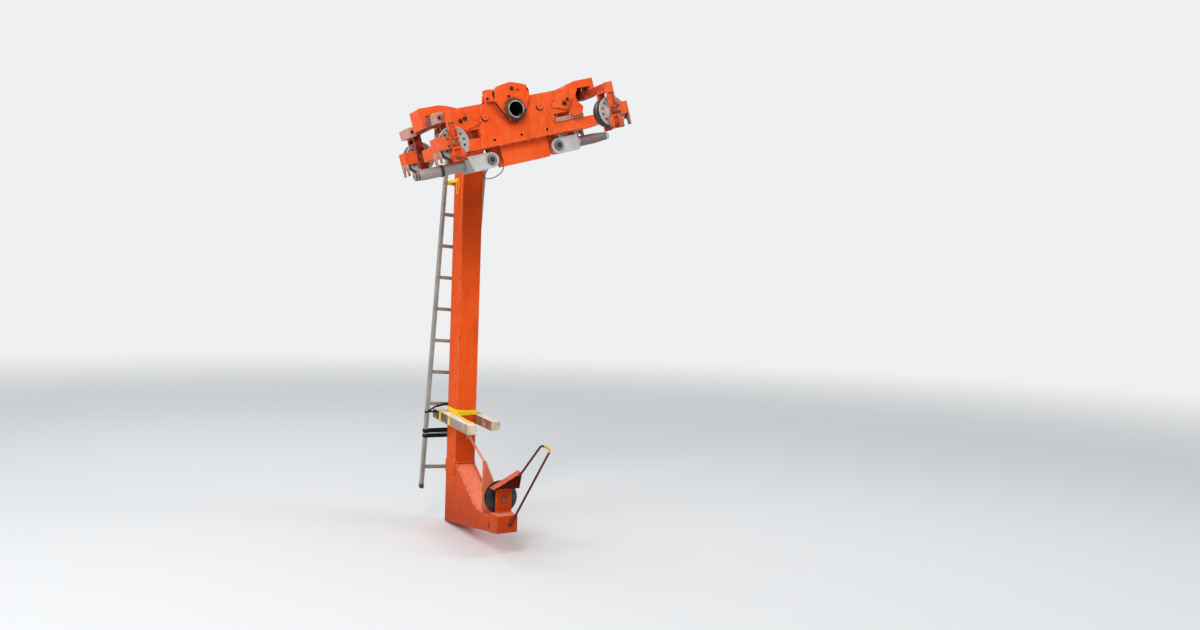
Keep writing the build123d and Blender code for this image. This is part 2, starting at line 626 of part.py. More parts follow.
with BuildPart() as sheave_posts:
    for (low, high), foot, top, shift in (
            (NEAR_POST, FOOT_END_HIGH, HOOD_LOW_Z, NEAR_POST_SHIFT), (FAR_POST, FOOT_TOP_Z, SHEAVE_Z + 70, 0)):
        with BuildSketch(upright(high)):
            with Locations((PIVOT_X + shift, (top + foot) / 2)):
                Rectangle(2 * POST_HALF_X, top - foot)
            with Locations((PIVOT_X, SHEAVE_Z)):
                Circle(SHEAVE_PIN_R, mode=Mode.SUBTRACT)
        extrude(amount=high - low)
save(sheave_posts, "sheave_posts")

with BuildPart() as sheave_pin:
    with BuildSketch(upright(FAR_POST[1] + 8)):
        with Locations((PIVOT_X, SHEAVE_Z)):
            Circle(SHEAVE_PIN_R)
    extrude(amount=FAR_POST[1] + 8 - NEAR_POST[0])
    with BuildSketch(upright(NEAR_POST[0])):
        with Locations((PIVOT_X, SHEAVE_Z)):
            RegularPolygon(SHEAVE_PIN_R + 6, 6)
    extrude(amount=12)
save(sheave_pin, "sheave_pin")

# Hood: wedge-shaped roof open below, its top plate rising uphill, standing on the near post
HOOD_RISE = (HOOD_HIGH_Z - HOOD_LOW_Z) / (HOOD_X[1] - HOOD_X[0])
ROOF_DROP = HOOD_T * 1.14
with BuildPart() as sheave_hood:
    with BuildSketch(upright(HOOD_Y[1])):
        with BuildLine():
            Polyline(
                (HOOD_X[0], HOOD_LOW_Z), (HOOD_X[1], HOOD_HIGH_Z), (HOOD_X[1] - 20, HOOD_LOW_Z), close=True)
        make_face()
    extrude(amount=HOOD_Y[1] - HOOD_Y[0])
    with BuildSketch(upright(HOOD_Y[1] - HOOD_T)):
        with BuildLine():
            Polyline(
                (HOOD_X[0] + (ROOF_DROP - 4) / HOOD_RISE, HOOD_LOW_Z - 4),
                (HOOD_X[1] - 34, HOOD_HIGH_Z - 34 * HOOD_RISE - ROOF_DROP),
                (HOOD_X[1] - 34, HOOD_LOW_Z - 4), close=True)
        make_face()
    extrude(amount=HOOD_Y[1] - HOOD_Y[0] - 2 * HOOD_T, mode=Mode.SUBTRACT)
save(sheave_hood, "sheave_hood")

# Hairpin bar from the hood's upper corner out past the foot and back to the end block
LOOP_R = 9.0
LOOP_START_Y = HOOD_Y[0] - LOOP_R
LOOP_END_Y = FOOT_END_Y - LOOP_R - 7
LOOP_POINTS = (
    (HOOD_X[1] - 20, LOOP_START_Y, HOOD_HIGH_Z - 16), (PIVOT_X + 270, LOOP_START_Y - 24, FOOT_TOP_Z + 580),
    (PIVOT_X + 354, LOOP_START_Y - 27, FOOT_TOP_Z + 545), (PIVOT_X + 2, LOOP_END_Y, FOOT_TOP_Z - 26))
with BuildPart() as loop_bar:
    with BuildLine() as loop_line:
        FilletPolyline(*LOOP_POINTS, radius=26)
    with BuildSketch(Plane(origin=loop_line.line @ 0, z_dir=loop_line.line % 0)):
        Circle(LOOP_R)
    sweep()
    with BuildSketch(upright(HOOD_Y[0])):
        with Locations((LOOP_POINTS[0][0], LOOP_POINTS[0][2])):
            Circle(LOOP_R + 3)
    extrude(amount=LOOP_R)
    with BuildSketch(upright(FOOT_END_Y)):
        with Locations((LOOP_POINTS[3][0], LOOP_POINTS[3][2])):
            Circle(LOOP_R + 3)
    extrude(amount=LOOP_R + 7)
save(loop_bar, "loop_bar")

# Stay rod from the column down to an upright bracket behind the sheave
STAY_R = 11.0
STAY_HIGH = FOOT_TOP_Z + 520
BRACKET_Y = (80.0, 92.0)
BRACKET_TOP = FOOT_TOP_Z + 425
BRACKET_OUTLINE = (
    (-78, 0), (-78, FOOT_LIP), (-98, FOOT_LIP), (-98, 425), (-70, 425), (10, 240), (62, 200), (62, 0))
with BuildPart() as stay_rod:
    with BuildLine() as stay_line:
        Line((PIVOT_X + 27, COL_IN - 5, STAY_HIGH), (PIVOT_X - 80, BRACKET_Y[1] - 6, BRACKET_TOP - 16))
    with BuildSketch(Plane(origin=stay_line.line @ 0, z_dir=stay_line.line % 0)):
        Circle(STAY_R)
    sweep()
    with BuildSketch(upright(COL_IN)):
        with Locations((PIVOT_X + 27, STAY_HIGH)):
            Rectangle(50, 60)
    extrude(amount=10)
    with BuildSketch(upright(BRACKET_Y[1])):
        with BuildLine():
            Polyline(*[(PIVOT_X + x, FOOT_TOP_Z - FOOT_LIP + z) for x, z in BRACKET_OUTLINE], close=True)
        make_face()
    extrude(amount=BRACKET_Y[1] - BRACKET_Y[0])
save(stay_rod, "stay_rod")

# Ladder lashed behind the column, leaning a little along the line
LADDER_W = 380.0
LADDER_GAP = 12.0
LADDER_LEAN = 2.96
LADDER_L = 2970.0
RAIL_X = 25.0
RAIL_Y = 60.0
RUNG_PITCH = 284.0
RUNG_SIZE = 30.0
FIRST_RUNG = 190.0
LADDER_Y = COL_OUT + LADDER_GAP
LADDER_FOOT_X = PIVOT_X - 127
LADDER_FOOT_Z = FOOT_Z + 298
LEAN_S = sin(radians(LADDER_LEAN))
LEAN_C = cos(radians(LADDER_LEAN))
RUNG_L = LADDER_W - RAIL_X
RUNGS = int((LADDER_L - FIRST_RUNG) // RUNG_PITCH) + 1


def up_ladder(rise):
    return LADDER_FOOT_X + rise * LEAN_S, LADDER_FOOT_Z + rise * LEAN_C


with BuildPart() as ladder:
    with BuildSketch(Plane(
            origin=(LADDER_FOOT_X, LADDER_Y + RAIL_Y / 2, LADDER_FOOT_Z),
            x_dir=(LEAN_C, 0, -LEAN_S), z_dir=(LEAN_S, 0, LEAN_C))):
        with Locations((-RUNG_L / 2, 0), (RUNG_L / 2, 0)):
            Rectangle(RAIL_X, RAIL_Y)
    extrude(amount=LADDER_L)
    for rung in range(RUNGS):
        mid_x, mid_z = up_ladder(FIRST_RUNG + RUNG_PITCH * rung)
        with BuildSketch(Plane(
                origin=(mid_x - RUNG_L / 2 * LEAN_C, LADDER_Y + RAIL_Y / 2, mid_z + RUNG_L / 2 * LEAN_S),
                x_dir=(0, 1, 0), z_dir=(LEAN_C, 0, -LEAN_S))):
            Rectangle(RUNG_SIZE, RUNG_SIZE)
        extrude(amount=RUNG_L)
save(ladder, "ladder")

# Pads on the column's back that the third and the top rung rest on
PAD_X = 120.0
with BuildPart() as ladder_standoffs:
    for rung in (2, RUNGS - 1):
        mid_x, mid_z = up_ladder(FIRST_RUNG + RUNG_PITCH * rung)
        with BuildSketch(upright(LADDER_Y + (RAIL_Y - RUNG_SIZE) / 2)):
            with Locations((PIVOT_X, mid_z)):
                Rectangle(PAD_X, 40)
        extrude(amount=LADDER_GAP + (RAIL_Y - RUNG_SIZE) / 2)
save(ladder_standoffs, "ladder_standoffs")

# Timbers lashed either side of the column, their near ends a little low
TIMBER_MID_Z = FOOT_Z + 950
TILT_S = sin(radians(TIMBER_TILT))
TILT_C = cos(radians(TIMBER_TILT))
TIMBER_SPANS = (  # way along the line, how far the timber reaches past the column, near and far
    (-1, COL_IN - 270, 180.0), (1, COL_IN - 400, 0.0))


def along_timber(reach):
    """Plane square to the timbers, past the column's middle by reach; extrudes towards the viewer."""
    return Plane(
        origin=(PIVOT_X, COL_MID_Y + reach * TILT_C, TIMBER_MID_Z + reach * TILT_S),
        x_dir=(1, 0, 0), z_dir=(0, -TILT_C, -TILT_S))


with BuildPart() as column_timbers:
    for way, near, far in TIMBER_SPANS:
        with BuildSketch(along_timber(COL_Y / 2 + far)):
            with Locations((way * (COL_X + TIMBER[0]) / 2, 0)):
                Rectangle(*TIMBER)
        extrude(amount=COL_Y + near + far)
save(column_timbers, "column_timbers")

with BuildPart() as timber_strap:
    with BuildSketch(level(TIMBER_MID_Z + TIMBER[1] / 2 - 14)):
        with Locations((PIVOT_X, COL_MID_Y)):
            Rectangle(COL_X + 2 * STRAP_T, COL_Y + 2 * STRAP_T)
            Rectangle(COL_X, COL_Y, mode=Mode.SUBTRACT)
    extrude(amount=STRAP_W)
    with BuildSketch(along_timber(COL_Y)):
        for way in (-1, 1):
            with Locations((way * (COL_X + TIMBER[0]) / 2, 0)):
                Rectangle(*TIMBER)
    extrude(amount=2 * COL_Y, mode=Mode.SUBTRACT)
    for way in (-1, 1):
        with BuildSketch(along_timber(-COL_Y / 2 + 60 + STRAP_W)):
            with Locations((way * (COL_X + TIMBER[0]) / 2, 0)):
                Rectangle(TIMBER[0] + 2 * STRAP_T, TIMBER[1] + 2 * STRAP_T)
                Rectangle(*TIMBER, mode=Mode.SUBTRACT)
            Rectangle(COL_X, 2 * TIMBER[1], mode=Mode.SUBTRACT)
        extrude(amount=STRAP_W)
save(timber_strap, "timber_strap")

# Black strap round the ladder's rails, drawn against the column's back
STRAP_RISE = FIRST_RUNG + RUNG_PITCH - 12
strap_mid_x, strap_low_z = up_ladder(STRAP_RISE)
RAIL_OUT = LADDER_W / 2 + 5
with BuildPart() as ladder_strap:
    with BuildSketch(level(strap_low_z)):
        with BuildLine():
            Polyline(
                (PIVOT_X - COL_X / 2 + 4, COL_OUT), (PIVOT_X + COL_X / 2 - 4, COL_OUT),
                (strap_mid_x + RAIL_OUT + STRAP_T, LADDER_Y - STRAP_T),
                (strap_mid_x + RAIL_OUT + STRAP_T, LADDER_Y + RAIL_Y + STRAP_T),
                (strap_mid_x - RAIL_OUT - STRAP_T, LADDER_Y + RAIL_Y + STRAP_T),
                (strap_mid_x - RAIL_OUT - STRAP_T, LADDER_Y - STRAP_T), close=True)
        make_face()
        offset(amount=-STRAP_T, mode=Mode.SUBTRACT)
    extrude(amount=STRAP_W + 20)
save(ladder_strap, "ladder_strap")
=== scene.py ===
# Looks of the tramway carriage and its hanger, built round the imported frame.
# Lengths in the tables are millimetres. On the carriage u runs along the ropes, y across and n square to
# both; the hanger's tables use the shared axes. Tones are linear, in thousandths.
import json
import random
from math import cos, pi, radians, sin, sqrt, tau

import bmesh
import bpy
from mathutils import Matrix, Vector


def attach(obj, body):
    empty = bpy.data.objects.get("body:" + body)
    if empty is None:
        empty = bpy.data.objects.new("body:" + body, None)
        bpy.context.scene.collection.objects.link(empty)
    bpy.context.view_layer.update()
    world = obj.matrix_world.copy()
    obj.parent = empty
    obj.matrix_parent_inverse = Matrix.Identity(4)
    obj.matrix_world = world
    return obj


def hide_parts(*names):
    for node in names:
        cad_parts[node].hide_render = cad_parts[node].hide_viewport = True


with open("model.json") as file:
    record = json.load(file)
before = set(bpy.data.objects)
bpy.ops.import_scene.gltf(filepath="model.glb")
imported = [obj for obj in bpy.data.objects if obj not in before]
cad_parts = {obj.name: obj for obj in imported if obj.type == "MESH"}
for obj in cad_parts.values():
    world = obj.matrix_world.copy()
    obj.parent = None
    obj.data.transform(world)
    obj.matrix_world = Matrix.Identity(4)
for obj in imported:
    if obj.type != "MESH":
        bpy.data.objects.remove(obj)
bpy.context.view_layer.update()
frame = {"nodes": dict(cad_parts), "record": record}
nodes = frame["nodes"]

MM = 0.001
UP = radians(17)
ALONG = (cos(UP), 0, sin(UP))
ACROSS = (0, 1, 0)
SQUARE = (-sin(UP), 0, cos(UP))
UPWARD = (0, 0, 1)
PLUMB_MM = Matrix.Scale(MM, 4)
at = Matrix.Translation
TRACK_MM = Matrix((ALONG, ACROSS, SQUARE)).transposed().to_4x4() @ PLUMB_MM

# Sizes shared with the CAD
WHEEL_U, WHEEL_H, ROPE_Y = 680, 126, 410
SIDE_FACE, PLATE_FACE = 112, 140
PIVOT_U, PIVOT_N = 8, 307
PIVOT_X = PIVOT_U * cos(UP) - PIVOT_N * sin(UP)
PIVOT_Z = PIVOT_U * sin(UP) + PIVOT_N * cos(UP)
LOW_PIN_U, HIGH_PIN_U, PIN_N = -258, 348, -35
COL_LEFT, COL_RIGHT = PIVOT_X - 90, PIVOT_X + 90
COL_IN, COL_MID_Y, COL_OUT = 780, 900, 1020
COL_TOP = PIVOT_Z - 133
FOOT_Z = PIVOT_Z - 3522
FOOT_TOP_Z, COL_LOW, TIMBER_MID_Z = FOOT_Z + 282, FOOT_Z + 564, FOOT_Z + 950
LADDER_Y, RUNG_Y, LADDER_HALF = COL_OUT + 12, COL_OUT + 42, 190
LADDER_FOOT_X, LADDER_FOOT_Z = PIVOT_X - 127, FOOT_Z + 298
RUNG_PITCH, FIRST_RUNG, RUNGS = 284, 190, 10
RAIL_MID = (LADDER_HALF * 2 - 25) / 2
LEAN = radians(2.96)
WHEELS = (  # name, way along the line, side of the line
    ("lower_near", -1, -1), ("lower_far", -1, 1), ("upper_near", 1, -1), ("upper_far", 1, 1))


# ---- node helpers
class Tree:
    """Short names for the nodes that the finishes below are made from."""

    def __init__(self, tree):
        self.tree = tree

    def link(self, source, target):
        if isinstance(source, (int, float)):
            target.default_value = source
        elif isinstance(source, tuple):
            colour = len(target.default_value) == 4
            target.default_value = (*[part / 1000 for part in source], 1) if colour else source
        else:
            self.tree.links.new(source, target)

    def add(self, kind, *given, **settings):
        """A node whose first sockets are given in their order."""
        node = self.tree.nodes.new("ShaderNode" + kind)
        for key, value in settings.items():
            setattr(node, key, value)
        for value, socket in zip(given, node.inputs):
            self.link(value, socket)
        return node

    def fill(self, node, **values):
        """Sets a node's sockets by their names, with _ for a space."""
        for key, value in values.items():
            self.link(value, node.inputs[key.replace("_", " ")])
        return node

    def use(self, group, **values):
        """What a shader group puts out: a socket, or a list of them."""
        outputs = list(self.fill(self.add("Group", node_tree=group), **values).outputs)
        return outputs if outputs[1:] else outputs[0]

    def math(self, how, first, second=0, clamp=False):
        return self.add("Math", first, second, operation=how, use_clamp=clamp).outputs[0]

    def times(self, first, *others):
        for other in others:
            first = self.math("MULTIPLY", first, other)
        return first

    def inverse(self, mask):
        return self.math("SUBTRACT", 1, mask)

    def vector(self, how, first, second=(0, 0, 0)):
        node = self.add("VectorMath", first, second, operation=how)
        return node.outputs["Value" if how in ("DOT_PRODUCT", "LENGTH") else "Vector"]

    def ramp(self, value, low, high, least=0, most=1):
        return self.add("MapRange", value, low, high, least, most, interpolation_type="SMOOTHSTEP").outputs[0]

    def noise(self, where, scale, detail=3, roughness=0.55, distortion=0):
        return self.fill(self.add("TexNoise"), Vector=where, Scale=scale, Detail=detail, Roughness=roughness,
                         Distortion=distortion).outputs[0]

    def mix(self, share, first, second, how="MIX"):
        node = self.add("Mix", share, data_type="RGBA", blend_type=how)
        self.link(first, node.inputs[6])
        self.link(second, node.inputs[7])
        return node.outputs[2]

    def bump(self, height, strength, distance, **more):
        node = self.fill(self.add("Bump"), Strength=strength, Distance=distance, Height=height, **more)
        return node.outputs[0]

    def output(self, kind, share, first, second):
        """Ends the tree in two shaders mixed by share."""
        self.add(kind, self.add("MixShader", share, first.outputs[0], second.outputs[0]).outputs[0])

    def place(self):
        """Where the point is with the object at rest, in metres, so that a pattern moves with its piece."""
        return self.add("TexCoord").outputs["Object"]

    def faces(self):
        return self.add("TexCoord").outputs["Normal"]

    # Masks
    def patchy(self, scale, low, high, least=0, most=1, detail=4, roughness=0.55):
        """Soft patches, from the noise between low and high."""
        return self.ramp(self.noise(self.place(), scale, detail, roughness), low, high, least, most)

    def looking(self, way, low, high, most=1, either=False):
        """Faces that look along way, or along it in either direction."""
        lean = self.vector("DOT_PRODUCT", self.faces(), way)
        return self.ramp(self.math("ABSOLUTE", lean) if either else lean, low, high, 0, most)

    def reach(self, way):
        """How far the point lies along way, in millimetres."""
        return self.vector("DOT_PRODUCT", self.place(), tuple(Vector(way) / MM))

    def past(self, way, start, blur):
        """What lies further than start along way."""
        return self.ramp(self.reach(way), start - blur, start + blur)

    def round_axle(self, centre, radius, blur):
        """What lies within radius of the line across the carriage through centre."""
        off = self.vector("SUBTRACT", self.place(), tuple(Vector(centre) * MM))
        far = self.math("DIVIDE", self.vector("LENGTH", self.vector("MULTIPLY", off, (1, 0, 1))), MM)
        return self.ramp(far, radius + blur, radius - blur)


def bare_tree(owner):
    owner.use_nodes = True
    owner.node_tree.nodes.clear()
    return Tree(owner.node_tree)


# ---- camera, light and stage
PALE, FLOOR = (860, 870, 880), (815, 822, 828)


def add_object(name, data):
    thing = bpy.data.objects.new(name, data)
    bpy.context.scene.collection.objects.link(thing)
    return thing


def set_camera():
    """Camera at the photograph's place, fitted to the wheels, the girder and the foot."""
    turn, dip, roll = 0.49142848, 0.01530424, 0.03179013
    place = at((-2.809822, -6.760885, -1.19812))
    focal_pixels, photo_pixels, sensor = 899.16584, 1200, 36
    data = bpy.data.cameras.new("photo_camera")
    data.sensor_width = sensor
    data.lens = sensor * focal_pixels / photo_pixels
    data.clip_end = 300
    camera = add_object("photo_camera", data)
    camera.matrix_world = (place @ Matrix.Rotation(-turn, 4, "Z") @ Matrix.Rotation(pi / 2 - dip, 4, "X")
                           @ Matrix.Rotation(roll, 4, "Z"))
    bpy.context.scene.camera = camera


def soft_light(name, place, aim, size, watts):
    data = bpy.data.lights.new(name, "AREA")
    data.shape = "DISK"
    data.size = size
    data.energy = watts
    lamp = add_object(name, data)
    lamp.location = place
    lamp.rotation_euler = (Vector(aim) - Vector(place)).to_track_quat("-Z", "Y").to_euler()


def set_world():
    """Overcast light; the background that the camera sees is a pale grey of its own."""
    world = bpy.data.worlds.new("overcast")
    bpy.context.scene.world = world
    tree = bare_tree(world)
    rays = tree.add("LightPath").outputs
    direct = tree.math("MAXIMUM", rays["Is Camera Ray"], rays["Is Transmission Ray"])
    seen = tree.math("MAXIMUM", direct, rays["Is Glossy Ray"])
    light = tree.fill(tree.add("Background"), Color=(930, 970, 1000), Strength=0.52)
    shown = tree.fill(tree.add("Background"), Color=PALE, Strength=1)
    tree.output("OutputWorld", seen, light, shown)


def set_floor():
    """Pale floor that fades into the pale background far from the object."""
    mesh = bpy.data.meshes.new("floor")
    bm = bmesh.new()
    bmesh.ops.create_circle(bm, cap_ends=True, segments=96, radius=60)
    bmesh.ops.translate(bm, verts=bm.verts, vec=(0, 0.4, (FOOT_Z - 6) * MM))
    bm.to_mesh(mesh)
    bm.free()
    add_object("floor", mesh)
    material = bpy.data.materials.new("pale_floor")
    tree = bare_tree(material)
    body = tree.fill(tree.add("BsdfPrincipled"), Base_Color=FLOOR, Roughness=0.9, Specular_IOR_Level=0.1)
    away = tree.vector("LENGTH", tree.vector("MULTIPLY", tree.place(), (1, 1, 0)))
    tree.output("OutputMaterial", tree.ramp(away, 5, 26), body, tree.add("BsdfTransparent"))
    mesh.materials.append(material)


# ---- effects shared by several finishes
SOCKET_KINDS = {"Base": "Color", "Faded": "Color", "Color": "Color", "Rounded": "Vector"}


def shader_group(inputs, outputs="Mask"):
    """Makes the function below it into a shader group; sockets are numbers unless listed above."""
    def make(effect):
        group = bpy.data.node_groups.new(effect.__name__, "ShaderNodeTree")
        for way, labels in (("INPUT", inputs), ("OUTPUT", outputs)):
            for label in labels.split():
                kind = "NodeSocket" + SOCKET_KINDS.get(label, "Float")
                group.interface.new_socket(label, in_out=way, socket_type=kind)
        tree = Tree(group)
        given = list(group.nodes.new("NodeGroupInput").outputs)[:len(inputs.split())]
        made = effect(tree, *given)
        results = made if isinstance(made, tuple) else [made]
        for value, socket in zip(results, group.nodes.new("NodeGroupOutput").inputs):
            tree.link(value, socket)
        return group
    return make


@shader_group("Width Breakup Amount", "Mask Rounded")
def edge_mask_for_highlight_and_wear(tree, width, breakup, amount):
    """Mask of the strip along sharp edges, broken up, and the normal that rounds those edges."""
    bevel = tree.fill(tree.add("Bevel", samples=6), Radius=width)
    soft = tree.fill(tree.add("Bevel", samples=4), Radius=0.0025)
    lean = tree.vector("DOT_PRODUCT", bevel.outputs[0], tree.add("NewGeometry").outputs["Normal"])
    rough = tree.noise(tree.place(), breakup, 4, 0.7)
    limit = tree.times(tree.inverse(amount), 0.5)
    mask = tree.ramp(tree.times(tree.ramp(lean, 0.995, 0.8), rough), limit, tree.math("ADD", limit, 0.12))
    return mask, soft.outputs[0]


@shader_group("Reach Breakup Amount")
def corner_grime_and_shade(tree, reach, breakup, amount):
    """Mask of painted shade, with some dirt, in corners and under plates, where ambient occlusion is high."""
    shade = tree.fill(tree.add("AmbientOcclusion", samples=6), Distance=reach).outputs["AO"]
    broken = tree.patchy(breakup, 0.3, 0.7, 0.35, roughness=0.65)
    mask = tree.times(tree.ramp(tree.inverse(shade), 0.1, 0.62), broken)
    return tree.math("MULTIPLY", mask, amount, clamp=True)


@shader_group("Base Faded Scale Amount", "Color")
def patchy_colour(tree, base, faded, scale, amount):
    """Colour that wanders between two tones in large and small patches."""
    place = tree.place()
    large = tree.noise(place, scale, 3, 0.6, 0.4)
    small = tree.noise(place, tree.times(scale, 9), 4, 0.6)
    both = tree.math("ADD", tree.times(large, 0.65), tree.times(small, 0.35))
    mask = tree.times(tree.ramp(both, 0.38, 0.64), amount)
    return tree.mix(mask, base, faded)


@shader_group("Scale Amount")
def rain_streaks(tree, scale, amount):
    """Mask of rain streaks that run straight down."""
    drawn = tree.vector("MULTIPLY", tree.place(), (1, 1, 0.07))
    lines = tree.ramp(tree.noise(drawn, scale, 5, 0.62), 0.5, 0.72)
    return tree.times(lines, tree.patchy(2.2, 0.4, 0.65, 0.2, detail=2), amount)


@shader_group("Amount")
def sky_sheen_and_faded_tops(tree, amount):
    """Mask of faces that look up: painted sky sheen on them, with fading."""
    return tree.times(tree.looking(UPWARD, 0.15, 0.85), tree.patchy(14, 0.3, 0.7, 0.6), amount)


@shader_group("Scale Size Spread")
def spatter(tree, scale, size, spread):
    """Mask of small separate spots: grease flecks and stone chips."""
    stray = tree.vector("MULTIPLY", tree.add("TexNoise").outputs[1], (0.01, 0.01, 0.01))
    where = tree.vector("ADD", tree.place(), stray)
    cells = tree.fill(tree.add("TexVoronoi"), Vector=where, Scale=scale)
    spot = tree.ramp(cells.outputs["Distance"], size, tree.times(size, 0.6))
    return tree.times(spot, tree.patchy(7, spread, tree.math("ADD", spread, 0.08), detail=3))


@shader_group("Pitch", "Height Shade")
def webbing_weave(tree, pitch):
    """Height of a plain woven strap, and the painted shade in its weave's hollows, from its own across and
    along lengths.
    """
    parts = tree.add("SeparateXYZ", tree.add("UVMap").outputs[0]).outputs
    turn = tree.math("DIVIDE", tau, pitch)
    across = tree.math("SINE", tree.times(parts[0], turn))
    slant = tree.times(parts[1], turn)
    along = tree.math("SINE", tree.math("ADD", slant, tree.times(across, 0.9)))
    height = tree.math("ADD", tree.times(across, 0.5), tree.times(along, 0.5))
    return height, tree.ramp(height, -0.8, 0.8)


# ---- finishes
FINISH = {}


def new_finish(name, roughness, **plain):
    """A material whose unchanging values are set on the shader's own sockets."""
    FINISH[name] = material = bpy.data.materials.new(name)
    material.use_nodes = True
    tree = Tree(material.node_tree)
    return tree, tree.fill(material.node_tree.nodes["Principled BSDF"], Roughness=roughness, **plain)


def stained_and_shaded(tree, colour, zones):
    for mask, tone in dict(zones).items():
        colour = tree.mix(mask(tree), colour, tone)
    return colour


def painted(name, base, faded, top, dirt_and_shade, chip, edge_highlight_and_wear, streak=0.35, top_sheen_and_fade=0.75, gloss=0.5, shine=0.12, zones=()):
    """Weathered brushed-on enamel, with painted light: sky sheen on tops, highlights on edges and shade in
    corners; zones are masks of stains and of painted shade, each with its tone.
    """
    tree, shader = new_finish(name, gloss, Specular_IOR_Level=shine)
    colour = tree.use(patchy_colour, Base=base, Faded=faded, Scale=2.6, Amount=0.8)
    colour = tree.mix(tree.use(rain_streaks, Scale=24, Amount=streak), colour, dirt_and_shade)
    # Upward faces take the top tone: painted sky sheen, with fading.
    colour = tree.mix(tree.use(sky_sheen_and_faded_tops, Amount=top_sheen_and_fade), colour, top)
    # Corners and the undersides of plates darkened: painted shade, with some grime.
    grime_and_shade = tree.use(corner_grime_and_shade, Reach=0.07, Breakup=15, Amount=0.95)
    colour = tree.mix(grime_and_shade, colour, dirt_and_shade)
    # Edges mostly take the pale top tone as a painted highlight, with dark chips of real wear where the noise
    # is high.
    edge, rounded = tree.use(edge_mask_for_highlight_and_wear, Width=0.01, Breakup=36, Amount=edge_highlight_and_wear)
    colour = tree.mix(edge, colour, tree.mix(tree.patchy(17, 0.5, 0.56), top, chip))
    flecks = tree.use(spatter, Scale=48, Size=0.22, Spread=0.55)
    colour = tree.mix(tree.times(flecks, 0.7), colour, chip)
    rough = tree.patchy(9, 0.3, 0.7, gloss - 0.08, gloss + 0.16)
    worn = tree.times(tree.math("ADD", grime_and_shade, edge), 0.3)
    brushed = tree.times(tree.noise(tree.place(), 130), 0.25)
    relief = tree.math("SUBTRACT", brushed, tree.math("ADD", edge, flecks))
    tree.fill(shader, Base_Color=stained_and_shaded(tree, colour, zones),
              Roughness=tree.math("ADD", rough, worn, clamp=True),
              Normal=tree.bump(relief, 0.35, 0.0006, Normal=rounded))


def steel(name, base, stain, dirt_and_shade, gloss, metallic, grime_and_shade, scale, pits, shine=0.5, zones=()):
    """Bare, plated or cast metal; zones are masks of parts, each with its tone."""
    tree, shader = new_finish(name, gloss, Metallic=metallic, Specular_IOR_Level=shine)
    colour = tree.use(patchy_colour, Base=base, Faded=stain, Scale=scale, Amount=0.9)
    # Corners darkened: painted shade, with some grime.
    corner = tree.use(corner_grime_and_shade, Reach=0.03, Breakup=20, Amount=grime_and_shade)
    flecks = tree.use(spatter, Scale=110, Size=0.24, Spread=0.5)
    colour = tree.mix(corner, stained_and_shaded(tree, colour, zones), dirt_and_shade)
    rough = tree.patchy(scale * 5, 0.3, 0.7, gloss - 0.1, gloss + 0.15)
    if metallic > 0.5:
        tree.fill(shader, Metallic=tree.math("SUBTRACT", metallic, tree.times(corner, 0.8), clamp=True))
    _, rounded = tree.use(edge_mask_for_highlight_and_wear, Width=0.004, Breakup=60, Amount=0.4)
    relief = tree.math("SUBTRACT", tree.noise(tree.place(), 240), flecks)
    tree.fill(shader, Base_Color=tree.mix(tree.times(flecks, pits), colour, dirt_and_shade),
              Roughness=tree.math("ADD", rough, tree.times(corner, 0.35), clamp=True),
              Normal=tree.bump(relief, 0.25, 0.0004, Normal=rounded))


def webbing(name, base, worn, dirt_and_shade, fuzz=0.2):
    tree, shader = new_finish(name, 0.8, Sheen_Weight=fuzz, Sheen_Roughness=0.5, Specular_IOR_Level=fuzz)
    height, shade = tree.use(webbing_weave, Pitch=0.004)
    colour = tree.use(patchy_colour, Base=base, Faded=worn, Scale=14, Amount=0.8)
    # The weave's hollows darkened: painted shade.
    colour = tree.mix(tree.ramp(shade, 0, 1, 0.3, 0), colour, dirt_and_shade)
    # Corners darkened: painted shade, with some grime.
    grime_and_shade = tree.use(corner_grime_and_shade, Reach=0.02, Breakup=30, Amount=0.35)
    tree.fill(shader, Base_Color=tree.mix(grime_and_shade, colour, dirt_and_shade), Normal=tree.bump(height, 0.5, 0.0006))


def rubber(name, base, worn, top):
    tree, shader = new_finish(name, 0.75)
    colour = tree.use(patchy_colour, Base=base, Faded=worn, Scale=9, Amount=0.9)
    # Upward faces lighter: painted sky sheen.
    tree.fill(shader, Base_Color=tree.mix(tree.use(sky_sheen_and_faded_tops, Amount=0.5), colour, top),
              Normal=tree.bump(tree.noise(tree.place(), 90, 4), 0.4, 0.001))


